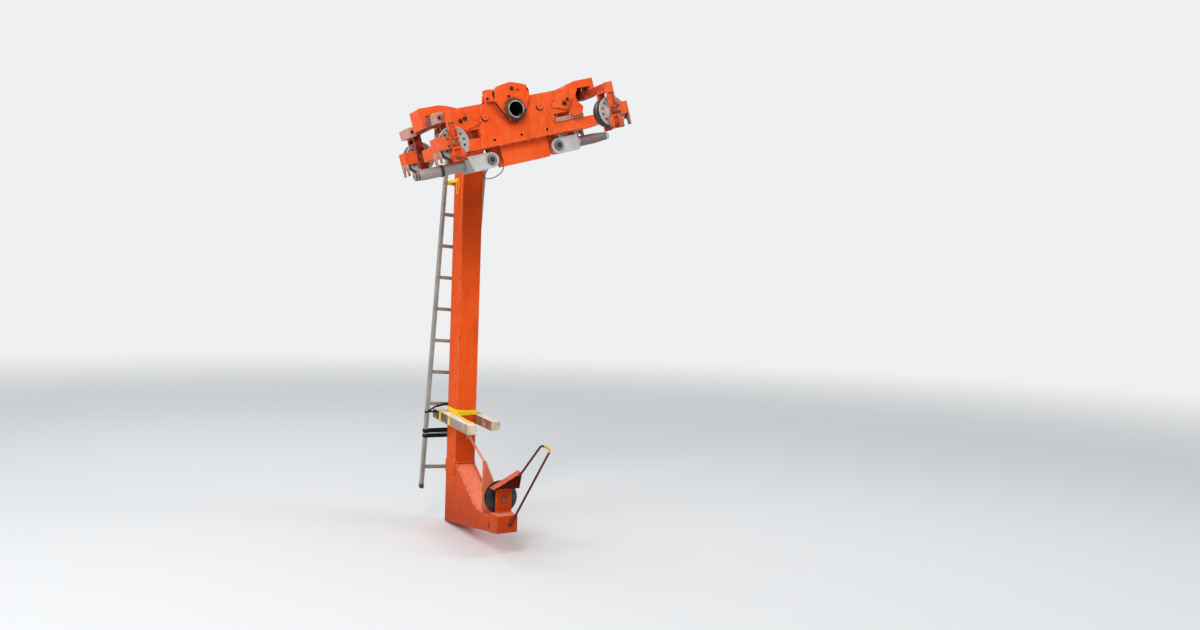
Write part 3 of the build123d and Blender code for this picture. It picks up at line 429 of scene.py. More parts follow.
def sawn_timber(name, pale, dark, top, left_front, left_back, right):
    """Weathered softwood: rings across the ends, grain drawn out along Y; its tops are painted pale as sky
    light, and the last three tone its sides as weathering and painted shade.
    """
    tree, shader = new_finish(name, 0.8)
    place = tree.place()
    bent = tree.vector("ADD", tree.vector("MULTIPLY", place, (1, 0.05, 1)), (0.31, 0, 0.12))
    rings = tree.fill(tree.add("TexWave", wave_type="RINGS", rings_direction="Y", wave_profile="SAW"),
                      Vector=bent, Scale=26, Distortion=3.5, Detail=3, Detail_Scale=1.2)
    fibre = tree.noise(tree.vector("MULTIPLY", place, (1, 0.04, 1)), 190, 4, 0.7)
    share = tree.math("ADD", tree.times(rings.outputs[1], 0.55), tree.times(fibre, 0.45))
    white, grey = (1000, 1000, 1000), (620, 570, 520)
    worn = tree.use(patchy_colour, Base=white, Faded=grey, Scale=7, Amount=0.9)
    colour = tree.mix(1, tree.mix(tree.ramp(share, 0.15, 0.85), pale, dark), worn, "MULTIPLY")
    # Upward faces a pale cream: painted sky light, with weathering.
    colour = tree.mix(tree.use(sky_sheen_and_faded_tops, Amount=0.75), colour, top)
    # Sides toned by where they stand: weathering, and painted shade, darkest on the back of the left side.
    left = tree.mix(tree.past(ACROSS, 750, 25), left_front, left_back)
    side = tree.mix(tree.past((1, 0, 0), PIVOT_X, 30), left, right)
    sides = tree.looking((1, 0, 0), 0.5, 0.8, either=True)
    weathered_and_shaded_sides = tree.times(sides, tree.patchy(11, 0.3, 0.55, 0.6, 0.97))
    _, rounded = tree.use(edge_mask_for_highlight_and_wear, Width=0.006, Breakup=40, Amount=0.5)
    tree.fill(shader, Base_Color=tree.mix(weathered_and_shaded_sides, colour, side),
              Normal=tree.bump(share, 0.5, 0.0012, Normal=rounded))


# Where stains, and painted shade, of their own tone lie
AXLE_MID = (PIVOT_X, 0, PIVOT_Z)


# The hollow axle's bore, near black: painted shade.
def axle_bore(tree):
    return tree.round_axle(AXLE_MID, 58.6, 0.5)


def axle_mouth(tree):
    """The worn ring round the hollow axle's mouth, on its near end."""
    outside_bore = tree.inverse(tree.round_axle(AXLE_MID, 58.8, 0.5))
    return tree.times(tree.round_axle(AXLE_MID, 68, 2.5), outside_bore,
                      tree.looking((0, -1, 0), 0.5, 0.8), tree.patchy(30, 0.36, 0.52, 0.35))


def axle_seepage(tree):
    """Old grease round the axle on the bearing plates, run down from it."""
    ring = tree.round_axle((PIVOT_X - 8, 0, PIVOT_Z - 4), 92, 22)
    return tree.times(ring, tree.patchy(26, 0.4, 0.58, 0.15, 0.9))


def beam_grease_and_shade(tree):
    """Grease and painted shade on the middle of the crossbeams and under them."""
    middle = tree.ramp(tree.math("ABSOLUTE", tree.reach(ACROSS)), 330, 90)
    under = tree.looking(SQUARE, -0.3, -0.8, 0.8)
    return tree.times(tree.math("MAXIMUM", middle, under), tree.patchy(12, 0.34, 0.56, 0.25, 1, 5, 0.6))


def rope_grease(tree):
    """Grease thrown up from the ropes on the lowest part of the forks and guards."""
    return tree.times(tree.inverse(tree.past(SQUARE, 22, 46)), tree.patchy(24, 0.36, 0.62, 0.1, 0.95, 5, 0.65))


def inner_sides(tree):
    """Faces that look towards the middle of the carriage, darkened by painted shade and old grease."""
    hand = tree.math("SIGN", tree.reach(ACROSS))
    look = tree.times(hand, tree.vector("DOT_PRODUCT", tree.faces(), ACROSS))
    return tree.times(tree.ramp(look, -0.4, -0.8, 0, 0.95), tree.patchy(15, 0.36, 0.56, 0.55))


def wheel_shafts(tree):
    """The axles themselves and their heads, in the painted keeper plates."""
    centres = [Vector(ALONG) * way * WHEEL_U + Vector(SQUARE) * WHEEL_H for way in (-1, 1)]
    return tree.math("MAXIMUM", *[tree.round_axle(centre, 18, 3) for centre in centres])


def buffer_middle(tree):
    """The near buffer block's darker part, away from its outer end: painted shade inside the arm's arch."""
    aside = tree.reach(ACROSS)
    return tree.times(tree.ramp(aside, -385, -330, 0, 0.95), tree.ramp(aside, 60, -60),
                      tree.patchy(19, 0.3, 0.6, 0.7))


def lower_barrel(tree):
    """The lower socket's darker barrel, and its cheeks beyond a slanting line."""
    return tree.past([-0.975 * a - 0.223 * b for a, b in zip(ALONG, SQUARE)], 431, 3)


def upper_barrel(tree):
    return tree.past(ALONG, HIGH_PIN_U + 186, 3)


def under_arch(tree):
    """Painted shade, with grease, on the downward faces under each gooseneck arm's arch."""
    far = tree.ramp(tree.math("ABSOLUTE", tree.reach(ALONG)), 570, 610)
    return tree.times(far, tree.looking(SQUARE, -0.2, -0.7, 0.95))


def hairpin_tip(tree):
    """A yellow tone on the hairpin bar's upper bend."""
    return tree.times(tree.past((1, 0, 0), PIVOT_X + 292, 5), tree.past(UPWARD, FOOT_TOP_Z + 522, 5))


def column_front(start, end, most):
    """Of the column's two broad sides, what lies between two heights; used for painted shade."""
    return lambda tree: tree.times(
        tree.looking(ACROSS, 0.5, 0.8, either=True), tree.ramp(tree.reach(UPWARD), start, end, 0, most),
        tree.patchy(5, 0.35, 0.6, 0.75))


def shaded_foot(tree):
    """Upright faces near the hanger's foot, browner than the rest of it: painted shade."""
    low = tree.inverse(tree.past(UPWARD, -2850, 300))
    return tree.times(low, tree.looking(UPWARD, 0.5, 0.25, either=True), 0.8)


# Paints: base, faded, tops (painted sky sheen with fading, and the painted highlight on edges), dirt (and
# painted shade in corners), chipped
# SALMON, the tone of tops and edges, stands for painted sky sheen and highlight; the dark rust tone is also
# used for painted corner shade.
SALMON, RUST_AND_SHADE, CHIPPED = (930, 245, 130), (110, 22, 10), (130, 30, 14)
ENAMEL = ((930, 94, 11), (990, 155, 36), SALMON, (200, 26, 8), CHIPPED)
GREASED = {rope_grease: (50, 20, 13)}
painted("orange_paint", *ENAMEL, edge_highlight_and_wear=0.6)
painted("bearing_paint", *ENAMEL, edge_highlight_and_wear=0.75, zones={axle_seepage: (50, 14, 6)})
painted("arm_paint", *ENAMEL, edge_highlight_and_wear=0.6, zones={under_arch: (35, 10, 8)})
painted("beam_paint", (540, 52, 14), (620, 110, 50), SALMON, (50, 14, 9), CHIPPED, edge_highlight_and_wear=0.45,
        zones={beam_grease_and_shade: (12, 8, 7)})
painted("guard_paint", (860, 92, 14), (840, 160, 60), SALMON, RUST_AND_SHADE, CHIPPED, edge_highlight_and_wear=0.6,
        streak=0.5, zones=GREASED)
painted("fork_paint", (880, 92, 13), (880, 150, 50), SALMON, RUST_AND_SHADE, CHIPPED, edge_highlight_and_wear=0.65,
        streak=0.4, zones={**GREASED, inner_sides: (95, 11, 7)})
painted("keeper_paint", (800, 85, 13), (750, 130, 45), SALMON, RUST_AND_SHADE, CHIPPED, edge_highlight_and_wear=0.65,
        zones={wheel_shafts: (260, 75, 35)})
# The column's broad sides are darker high up, under the carriage, and low down, below the timbers, and the
# foot's upright faces browner: painted shade.
painted("column_paint", (840, 85, 6), (840, 115, 14), (950, 310, 195), (260, 26, 4),
        (200, 40, 13), edge_highlight_and_wear=0.5, streak=0.5, gloss=0.6,
        zones={column_front(-1350, -250, 0.9): (420, 36, 2), column_front(-2180, -2330, 0.85): (500, 46, 3),
               shaded_foot: (400, 40, 4)})
painted("faded_paint", (500, 185, 130), (620, 380, 310), (780, 580, 500), (130, 60, 42),
        (280, 150, 100), edge_highlight_and_wear=0.7, streak=0.5, gloss=0.65, zones={rope_grease: (60, 30, 22)})
painted("buffer_paint", (550, 240, 185), (660, 420, 360), (820, 620, 550), (130, 50, 35),
        (280, 130, 90), edge_highlight_and_wear=0.7, streak=0.5, gloss=0.65, zones={buffer_middle: (210, 40, 24)})
painted("pink_paint", (780, 165, 80), (840, 320, 220), (900, 450, 340), (200, 40, 20), CHIPPED,
        edge_highlight_and_wear=0.5, gloss=0.6)
# The hood: its sides near black as painted shade, its upward faces salmon as painted sky light.
painted("hood_shade_paint", (50, 3, 2), (75, 6, 4), (840, 165, 90), (20, 3, 2), (30, 10, 8),
        edge_highlight_and_wear=0.3, top_sheen_and_fade=0.97, gloss=0.6, shine=0.04)
painted("loop_paint", (55, 8, 6), (100, 18, 14), (200, 75, 45), (12, 4, 3), (20, 10, 8),
        edge_highlight_and_wear=0.3, gloss=0.45, zones={hairpin_tip: (850, 420, 30)})

# Metals: base, stain, dirt (and painted shade in corners); roughness, metallic, grime (the amount of corner
# grime and painted shade), patch scale, pits
steel("wheel_disc", (460, 410, 370), (600, 560, 520), (100, 65, 45), 0.5, 0.15, 0.6, 12, 0.55)
steel("wheel_rim", (30, 29, 29), (70, 65, 60), (10, 9, 8), 0.36, 0.6, 0.6, 14, 0.2)
steel("bright_steel", (460, 440, 420), (300, 250, 210), (70, 40, 30), 0.34, 1, 0.5, 9, 0.2)
steel("axle_steel", (150, 95, 70), (60, 28, 18), (25, 12, 8), 0.55, 0.2, 0.7, 22, 0.6,
      shine=0.3, zones={axle_bore: (6, 5, 5), axle_mouth: (500, 430, 390)})
steel("socket_zinc", (550, 540, 530), (680, 680, 660), (170, 140, 130), 0.5, 0.3, 0.5, 8, 0.45,
      zones={lower_barrel: (340, 310, 300)})
steel("aged_socket", (500, 480, 475), (640, 630, 610), (120, 90, 90), 0.5, 0.3, 0.5, 8, 0.45,
      zones={upper_barrel: (230, 155, 165)})
steel("sheave_iron", (22, 26, 26), (60, 72, 70), (10, 10, 10), 0.32, 0.7, 0.5, 10, 0.2)
steel("aluminium_rail", (270, 280, 250), (390, 400, 370), (90, 85, 75), 0.45, 0.6, 0.5, 5, 0.3)
steel("rusty_bolt", (120, 45, 22), (260, 120, 65), (30, 15, 10), 0.65, 0.2, 0.7, 30, 0.5, shine=0.3)
steel("greasy_bolt", (40, 10, 6), (85, 20, 11), (8, 4, 3), 0.6, 0.1, 0.6, 30, 0.3, shine=0.2)
rubber("black_rubber", (12, 12, 12), (50, 46, 42), (100, 90, 80))
sawn_timber("timber_wood", (950, 860, 680), (600, 460, 340), (1000, 930, 800), (340, 245, 195),
            (80, 42, 28), (260, 85, 48))
webbing("yellow_web", (1000, 650, 0), (1000, 750, 30), (800, 360, 2))
webbing("black_web", (8, 8, 10), (20, 20, 22), (4, 4, 5), fuzz=0.03)

WEARERS = {  # finish: the CAD pieces that wear it in place of their slot's own
    "bearing_paint": "pivot_plates plate_spacer",
    "axle_steel": "main_axle",
    "arm_paint": "lower_gooseneck_arm upper_gooseneck_arm",
    "buffer_paint": "buffer_blocks",
    "pink_paint": "stay_rod",
    "rusty_bolt": "sheave_pin",
    "loop_paint": "loop_bar",
    "beam_paint": "lower_crossbeam upper_crossbeam",
    "fork_paint": "lower_near_fork lower_far_fork upper_near_fork upper_far_fork",
    "guard_paint": "lower_wheel_guards upper_wheel_guards",
    "keeper_paint": "wheel_axles",
    "aged_socket": "upper_rope_socket",
    "column_paint": "hanger_column hanger_head hanger_foot foot_end_block sheave_posts",
    "faded_paint": "slot_bar",
    "hood_shade_paint": "sheave_hood",
    "wheel_rim": "lower_near_wheel lower_far_wheel upper_near_wheel upper_far_wheel"}
OWN_TONE = {piece: finish for finish, pieces in WEARERS.items() for piece in pieces.split()}

random.seed(17)
set_camera()
set_world()
set_floor()
soft_light("sky_left", (-5, -6.5, 5), (0, 0.3, -0.6), 4, 440)
soft_light("sky_right", (6, -3.5, 4.5), (0, 0.3, -1.2), 4, 150)
soft_light("sky_back", (-2, 7.5, 5.5), (0, 0.3, -1.2), 6, 220)
soft_light("sky_low_left", (-8, -0.8, 2.2), (0, 0.4, -0.9), 4, 170)
bpy.context.scene.view_settings.view_transform = "Standard"

# ---- mesh helpers; every piece is drawn in millimetres and placed by its frame
FACING_NEAR = Matrix(((1, 0, 0, 0), (0, 0, -1, 0), (0, 1, 0, 0), (0, 0, 0, 1)))
FACING_FAR = Matrix(((-1, 0, 0, 0), (0, 0, 1, 0), (0, 1, 0, 0), (0, 0, 0, 1)))


def on_side(u, y, n):
    """Frame on a face at y that looks away from the middle: its Z points out, its Y up."""
    return at((u, y, n)) @ (FACING_NEAR if y < 0 else FACING_FAR)


def pointing(spot, way):
    """Frame at spot whose Z points along way."""
    return at(spot) @ Vector(way).to_track_quat("Z", "Y").to_matrix().to_4x4()


def on_circle(radius, turns):
    return [(radius * cos(turn), radius * sin(turn)) for turn in turns]


SHARP_ANGLE = radians(35)


class Work:
    """A mesh being made of several like parts, each with its own finish."""

    def __init__(self, name, body, slot, *finishes):
        self.bm = bmesh.new()
        self.vert, self.face = self.bm.verts.new, self.bm.faces.new
        self.name, self.body, self.slot, self.finishes = name, body, slot, finishes

    def ring(self, place, radius, height, count, turn=0):
        if radius <= 0:
            return [self.vert(place @ Vector((0, 0, height)))] * count
        turns = [turn + step * tau / count for step in range(count)]
        return [self.vert(place @ Vector((x, y, height))) for x, y in on_circle(radius, turns)]

    def skin(self, rings, finish=0, loop=False, smooth=True):
        """Faces between rings of as many points each; a ring may be one point."""
        for low, high in list(zip(rings, rings[1:])) + ([(rings[-1], rings[0])] if loop else []):
            for step in range(len(low)):
                after = (step + 1) % len(low)
                corners = list(dict.fromkeys((low[step], low[after], high[after], high[step])))
                if len(corners) > 2:
                    face = self.face(corners)
                    face.material_index, face.smooth = finish, smooth

    def turned(self, place, profile, count=32, finish=0, loop=False, turn=0):
        """Profile of (radius, height) turned round the frame's Z."""
        self.skin([self.ring(place, radius, height, count, turn) for radius, height in profile], finish, loop)

    def hex_bolt(self, place, across, tall, washer=0, finish=0, washer_finish=0):
        """Chamfered hexagon head, on a washer where one is given."""
        base = 0
        if washer:
            self.turned(place, ((washer, 0), (washer, 2.2), (washer - 1, 3), (0, 3)), 24, washer_finish)
            base = 3
        corner, turn = across / sqrt(3), random.uniform(0, 1)
        top = base + tall
        profile = ((corner, base), (corner, base + tall * 0.82), (corner * 0.88, top), (0, top))
        self.skin([self.ring(place, *spot, 6, turn) for spot in profile], finish, smooth=False)

    def bead(self, points, leg, closed=False, finish=0):
        """Weld bead with its ripples along a line of points."""
        stops = []
        for start, end in zip(points, points[1:] + points[:1] if closed else points[1:]):
            start, end = Vector(start), Vector(end)
            steps = max(2, round((end - start).length / 6))
            stops += [(start.lerp(end, step / steps), (end - start).normalized()) for step in range(steps)]
        if not closed:
            stops.append((Vector(points[-1]), stops[-1][1]))
        rings = []
        for index, (spot, way) in enumerate(stops):
            if 0 < index < len(stops) - 1 or closed:
                way = (stops[(index + 1) % len(stops)][0] - stops[index - 1][0]).normalized()
            swell = leg * (0.92 + 0.14 * (index % 2) + random.uniform(-0.07, 0.07))
            end_cap = not closed and index in (0, len(stops) - 1)
            rings.append(self.ring(pointing(spot, way), swell * (0.35 if end_cap else 1), 0, 8))
        self.skin(rings, finish, loop=closed)
        if not closed:
            for end in (rings[0], rings[-1][::-1]):
                self.face(end[::-1]).material_index = finish

    def seam(self, y, spots, leg, **more):
        """Weld bead that stays at one y."""
        self.bead([(u, y, n) for u, n in spots], leg, **more)

    def band(self, points, across, wide, thick, closed=True, ripple=0, finish=0):
        """Flat webbing along points; across is its width's way, one for all or a list of one a point."""
        uv = self.bm.loops.layers.uv.verify()
        line = [Vector(point) for point in points]
        ways = [Vector(way) for way in (across if isinstance(across, list) else [across] * len(line))]
        if closed:
            line, ways = line + line[:1], ways + ways[:1]
        stops = []
        for start, end, first, second in zip(line, line[1:], ways, ways[1:]):
            steps = max(1, round((end - start).length / 14))
            shares = [step / steps for step in range(steps)]
            stops += [(start.lerp(end, t), first.lerp(second, t).normalized()) for t in shares]
        if not closed:
            stops.append((line[-1], ways[-1].normalized()))
        held = [stops[-1], *stops, stops[0]] if closed else [stops[0], *stops, stops[-1]]
        rings, run, walk = [], [], 0
        sides = (-1, -0.33, 0.33, 1, 1, 0.33, -0.33, -1)
        for index, ((before, _), (spot, side_way), (after, _)) in enumerate(zip(held, held[1:], held[2:])):
            out = (after - before).normalized().cross(side_way).normalized()
            fold = ripple * sin(index * 1.9 + wide) * random.uniform(0.4, 1)
            pinch = 1 - 0.01 * ripple * (1 + sin(index * 0.9))
            lifts = (0, fold, -fold, 0, thick, thick - fold, thick + fold, thick)
            rings.append([self.vert(spot + side_way * share * wide / 2 * pinch + out * (lift + ripple))
                          for share, lift in zip(sides, lifts)])
            run.append(walk)
            walk += (after - spot).length
        run.append(walk)
        for index in range(len(rings) if closed else len(rings) - 1):
            low, high = rings[index], rings[(index + 1) % len(rings)]
            for step in range(8):
                after = (step + 1) % 8
                face = self.face((low[step], high[step], high[after], low[after]))
                face.material_index, face.smooth = finish, True
                corners = ((step, index), (step, index + 1), (after, index + 1), (after, index))
                for loop, (side, stop) in zip(face.loops, corners):
                    loop[uv].uv = (sides[side] * wide / 2 * MM, run[stop] * MM)
        if not closed:
            for end in (rings[0][::-1], rings[-1]):
                self.face(end).material_index = finish

    def done(self, *replaced):
        """Makes the object; it takes the place of the CAD nodes named."""
        bmesh.ops.recalc_face_normals(self.bm, faces=self.bm.faces)
        frame_mm = PLUMB_MM if self.body == "hanger" else TRACK_MM
        bmesh.ops.transform(self.bm, matrix=frame_mm, verts=self.bm.verts)
        for edge in self.bm.edges:
            edge.smooth = len(edge.link_faces) == 2 and edge.calc_face_angle(pi) < SHARP_ANGLE
        mesh = bpy.data.meshes.new(self.name)
        self.bm.to_mesh(mesh)
        self.bm.free()
        piece = add_object(self.name, mesh)
        for finish in self.finishes:
            mesh.materials.append(FINISH[finish])
        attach(piece, self.body)
        if replaced:
            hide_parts(*replaced)


# ---- carriage: wheels
RIM_SIDE = ((118.9, 49), (119, 31), (118, 27.5))  # radius, distance from the wheel's middle
DISC_SIDE = (  # the same for hub, web and rim
    (20.2, 58), (35, 58), (38, 56), (39, 51), (44, 47.2), (52, 46.4), (99, 46.4), (104, 48),
    (107.5, 53), (110, 54), (114.5, 54), (118, 50.5))
GROOVE_R, GROOVE_TURNS = 26, (72, 60, 45, 30, 15, 0, -15, -30, -45, -60, -72)
GROOVE = [(WHEEL_H - deep, side) for deep, side in on_circle(GROOVE_R, map(radians, GROOVE_TURNS))]
TREAD = (*RIM_SIDE, *GROOVE, *[(radius, -deep) for radius, deep in reversed(RIM_SIDE)])
DISC_BOLTS = on_circle(84, [tau * (step + 0.3) / 12 for step in range(12)])
for name, way, hand in WHEELS:
    body = f"{name}_wheel"
    wheel = Work(f"{body}_turned", body, "wheel_steel", "wheel_disc", "wheel_rim", "greasy_bolt")
    hub = at((way * WHEEL_U, hand * ROPE_Y, WHEEL_H)) @ FACING_NEAR
    near_disc = [wheel.ring(hub, radius, deep, 72) for radius, deep in DISC_SIDE]
    far_disc = [wheel.ring(hub, radius, -deep, 72) for radius, deep in reversed(DISC_SIDE)]
    tread = [wheel.ring(hub, radius, deep, 72) for radius, deep in TREAD]
    wheel.skin(near_disc)
    wheel.skin([near_disc[-1], *tread, far_disc[0]], 1)
    wheel.skin(far_disc)
    wheel.skin([far_disc[-1], near_disc[0]], 1)
    for face_way in (1, -1):
        for x, y in DISC_BOLTS:
            seat = hub @ at((x, y, face_way * 46.2))
            wheel.hex_bolt(seat @ Matrix.Rotation(0 if face_way > 0 else pi, 4, "X"), 14, 6, 0, 2)
    wheel.done(body)

# ---- carriage: bolts and bosses on its side faces, the same on both sides but for the stop block's bolt
STOP_BOLT_U = -206
SIDE_BOLTS = (  # u, n, face, across the flats, tall, washer
    (458, 285, SIDE_FACE, 27, 13, 19), (494, 312, SIDE_FACE, 19, 9, 13), (-455, 299, SIDE_FACE, 25, 13, 18),
    (-414, 312, SIDE_FACE, 25, 13, 18), (17, 470, PLATE_FACE, 24, 10, 16), (-23, 416, PLATE_FACE, 17, 7, 11),
    (66, 452, PLATE_FACE, 12, 6, 8), (150, 444, PLATE_FACE, 12, 6, 8),
    (STOP_BOLT_U, 424, PLATE_FACE, 18, 8, 12))
bolts = Work("girder_side_bolts", "carriage", "bright_steel", "greasy_bolt", "rusty_bolt")
for u, n, face, across, tall, washer in SIDE_BOLTS:
    for hand in (-1,) if u == STOP_BOLT_U else (-1, 1):
        bolts.hex_bolt(on_side(u, hand * face, n), across, tall, washer, 0, 1)
bolts.done()

bosses = Work("girder_side_bosses", "carriage", "orange_paint", "orange_paint", "greasy_bolt")
BOSS = ((26.5, 0), (26, 3), (25, 3.5), (25, 15), (23, 17), (9, 17), (8, 16), (8, 9), (0, 9))
# Each boss gets a dark bead along its lower left, in the grease finish: a painted shadow.
BOSS_SHADOW_LINE = on_circle(28, [radians(165 + 12 * step) for step in range(13)])  # round a boss's lower left
for u, n in ((-250, 292), (234, 295)):
    for hand in (-1, 1):
        bosses.turned(on_side(u, hand * 111.8, n), BOSS, 40)
    bosses.seam(-113, [(u + du, n + dn) for du, dn in BOSS_SHADOW_LINE], 5.6, finish=1)
# Dark discs at the bottom of the side plates' small holes: painted shade.
for u in (-213, 22, 254):
    for hand in (-1, 1):
        bosses.turned(on_side(u, hand * 100.4, 107), ((10.8, 0), (0, 0)), 24, 1)
bosses.done()

# Stepped collar round the axle's near end, packed with grease, and the studs that draw the stop block up
collar = Work("axle_end_collar", "carriage", "bright_steel", "axle_steel", "greasy_bolt")
COLLAR = ((70.2, 0), (85, 0), (84.5, 10), (82, 12.5), (76, 13), (74.5, 17), (70.2, 17.5))
STUD = ((0, 0), (8, 0), (8, 6), (5.5, 6.5), (5.5, 34), (0, 34))
collar.turned(on_side(PIVOT_U, -139.8, PIVOT_N), COLLAR, 72, 0, loop=True)
for n in (424, 458):
    collar.turned(pointing((-158, -126, n), (1, 0, 0)), STUD, 12, 1)
collar.done()

# Pin ends: a greasy black pin in a dark ring with one pale line, outside each socket's cheeks
pin_rings = Work("haul_pin_rings", "carriage", "bright_steel", "wheel_rim", "black_rubber", "aged_socket")
PIN_RING = ((20, 0), (37.5, -9.5), (37.5, 0.5), (35.5, 2.5), (31, 2.5))
PALE_LINE = ((31, 2.5), (30, 3.1), (27.5, 3.1), (26.5, 0.6))
PIN_FACE = ((26.5, 0.6), (22, 0.6), (20.5, 3.2), (13, 3.2), (11.5, 0.3), (0, 0.3))
for u in (LOW_PIN_U, HIGH_PIN_U):
    for hand in (-1, 1):
        for profile, index in ((PIN_RING, 0), (PALE_LINE, 2), (PIN_FACE, 1)):
            pin_rings.turned(on_side(u, hand * 76, PIN_N), profile, 48, index)
pin_rings.done()


def eased(points, steps=6):
    """Points along a smooth line through the given ones."""
    line = []
    held = [points[0], *points, points[-1]]
    for before, start, end, after in zip(held, held[1:], held[2:], held[3:]):
        for step in range(steps):
            t = step / steps
            line.append((start * 2 + (end - before) * t + (before * 2 - start * 5 + end * 4 - after) * t ** 2
                         + (start * 3 - before - end * 3 + after) * t ** 3) / 2)
    return line + [points[-1]]


# Thin wire loop from the girder's tongue, under the lower socket and up between its cheeks to the lug
WIRE_THICK = 7
WIRE = (
    (-165, -40, -102.5), (-178, -42, -128), (-210, -42, -153), (-252, -38, -169), (-290, -30, -174),
    (-316, -22, -171), (-334, -14, -162), (-341, -8, -146), (-334, -3, -130), (-317, 0, -121),
    (-301, 0, -115), (-291, 0, -100), (-282, 0, -80))
wire_line = eased([TRACK_MM @ Vector(spot) for spot in WIRE])
wire_curve = bpy.data.curves.new("socket_wire_loop", "CURVE")
wire_curve.dimensions = "3D"
wire_curve.bevel_depth = WIRE_THICK / 2 * MM
wire_curve.bevel_resolution = 3
wire_curve.use_fill_caps = True
wire_path = wire_curve.splines.new("POLY")
wire_path.points.add(len(wire_line) - 1)
for stop, spot in zip(wire_path.points, wire_line):
    stop.co = (*spot, 1)
wire_curve.materials.append(FINISH["greasy_bolt"])
wire = add_object("socket_wire_loop", wire_curve)
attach(wire, "carriage")

# Keeper screws on the wheel axles' plates, and the buffers' and guards' bolts
KEEPER_FACE, GUARD_FACE = ROPE_Y + 93, ROPE_Y + 77
bolts = Work("fork_keeper_screws", "carriage", "bright_steel", "rusty_bolt", "greasy_bolt")
for name, way, hand in WHEELS:
    for du, dn in ((-20, -21), (20, -21), (-20, 21), (20, 21)):
        bolts.hex_bolt(on_side(way * WHEEL_U + du, hand * KEEPER_FACE, WHEEL_H + dn), 9, 5, 0, 1)
    for n in (104, 158):
        bolts.hex_bolt(on_side(way * (WHEEL_U + 52), hand * GUARD_FACE, n), 13, 6, 9)
for y in (-455, 225):
    bolts.hex_bolt(at((-742, y, 319)) @ FACING_NEAR, 19, 8, 13, 1, 0)
bolts.done()

# ---- carriage: weld beads, and a dark line of painted shadow with grease under the bearing plates
SEAM_Y, SPACER_SHADOW_Y = SIDE_FACE - 11, PLATE_FACE + 28.5
SIDE_SEAM = ((262, 396), (335, 62))
BEARING = (
    (-163, 78), (-137, 174), (-98, 197), (14, 213), (86, 194), (139, 174), (155, 123), (143, 66), (88, -7),
    (-15, -92), (-83, -75))
SPACER = ((88, -12), (-15, -97), (-84, -80), (-165, 76))
LOWER_CHEEK = ((590, 320), (611, 226), (427, 223), (315, 249), (462, 400))
UPPER_CHEEK = ((470, 232), (342, 275), (462, 400))
welds_and_shadow_lines = Work("carriage_weld_beads_and_shadow_line", "carriage", "orange_paint", "orange_paint", "greasy_bolt")


def fork_beads(way, hand):
    """Beads between one fork, its crossbeam and its guard."""
    for leg in (-65, 65):
        welds_and_shadow_lines.seam(hand * ROPE_Y + leg, [(way * WHEEL_U - 30, 276), (way * WHEEL_U + 30, 276)], 5)
    for edge in (-33, 33):
        u = way * WHEEL_U + edge
        welds_and_shadow_lines.seam(hand * (ROPE_Y + 65), [(u, 296), (u, 343)], 5)
    welds_and_shadow_lines.seam(hand * GUARD_FACE, [(way * 712, 86), (way * 712, 178)], 4.5)


for hand in (-1, 1):
    for way in (-1, 1):
        welds_and_shadow_lines.seam(hand * SEAM_Y, [(way * u, n) for u, n in SIDE_SEAM], 6.5)
    welds_and_shadow_lines.seam(hand * SIDE_FACE, [(PIVOT_U + u, PIVOT_N + n) for u, n in BEARING], 6, closed=True)
    welds_and_shadow_lines.seam(hand * SEAM_Y, [(-u, n) for u, n in LOWER_CHEEK], 6)
    welds_and_shadow_lines.seam(hand * SEAM_Y, UPPER_CHEEK, 6)
    for way in (-1, 1):
        welds_and_shadow_lines.seam(hand * (SIDE_FACE - 12), [(way * 470, 401), (way * 556, 401)], 7)
        for edge in (-32, 32):
            u = way * WHEEL_U + edge
            welds_and_shadow_lines.seam(hand * (SIDE_FACE - 14), [(u, 345), (u, 383)], 6)
for y in (-60, 60):
    welds_and_shadow_lines.seam(y, [(-165, 60), (255, 60)], 7)
fork_beads(*WHEELS[0][1:])
# Dark line along the bearing plates' lower edges, in the grease finish: painted shadow, with grease.
for hand in (-1, 1):
    spacer = [(PIVOT_U + u * 1.02, PIVOT_N + n * 1.04) for u, n in SPACER]
    welds_and_shadow_lines.seam(hand * SPACER_SHADOW_Y, spacer, 6.5, finish=1)
for name, way, hand in WHEELS[1:]:
    fork_beads(way, hand)
welds_and_shadow_lines.done()

# ---- haul rope sockets: bands and end fittings, (radius, distance from the cheeks' end)
LOWER_BANDS = (  # finish, segments, profile
    (0, 40, ((41, 172), (46.5, 173), (47, 186), (46, 198), (41, 199))),
    (1, 32, ((31.5, 370), (36.5, 371), (37.1, 377), (36.5, 383), (30.5, 384))),
    (1, 32, ((30, 390), (35, 391), (35.6, 397), (35, 403), (29, 404))))
UPPER_BANDS = (
    (2, 40, ((41, 2), (44.5, 3), (45, 12), (44.5, 22), (41, 23))),
    (2, 32, ((26, 286), (33.5, 287), (34, 298), (33, 308), (25, 309))))
for name, way, cheek_u, bands in (("lower_rope_socket", -1, LOW_PIN_U - 222, LOWER_BANDS),
                                  ("upper_rope_socket", 1, HIGH_PIN_U + 190, UPPER_BANDS)):
    fitting = Work(f"{name}_bands", name, "socket_zinc", "black_rubber", "rusty_bolt", "socket_zinc")
    for finish, segments, profile in bands:
        fitting.turned(pointing((cheek_u, 0, PIN_N), (way, 0, 0)), profile, segments, finish)
    fitting.done()

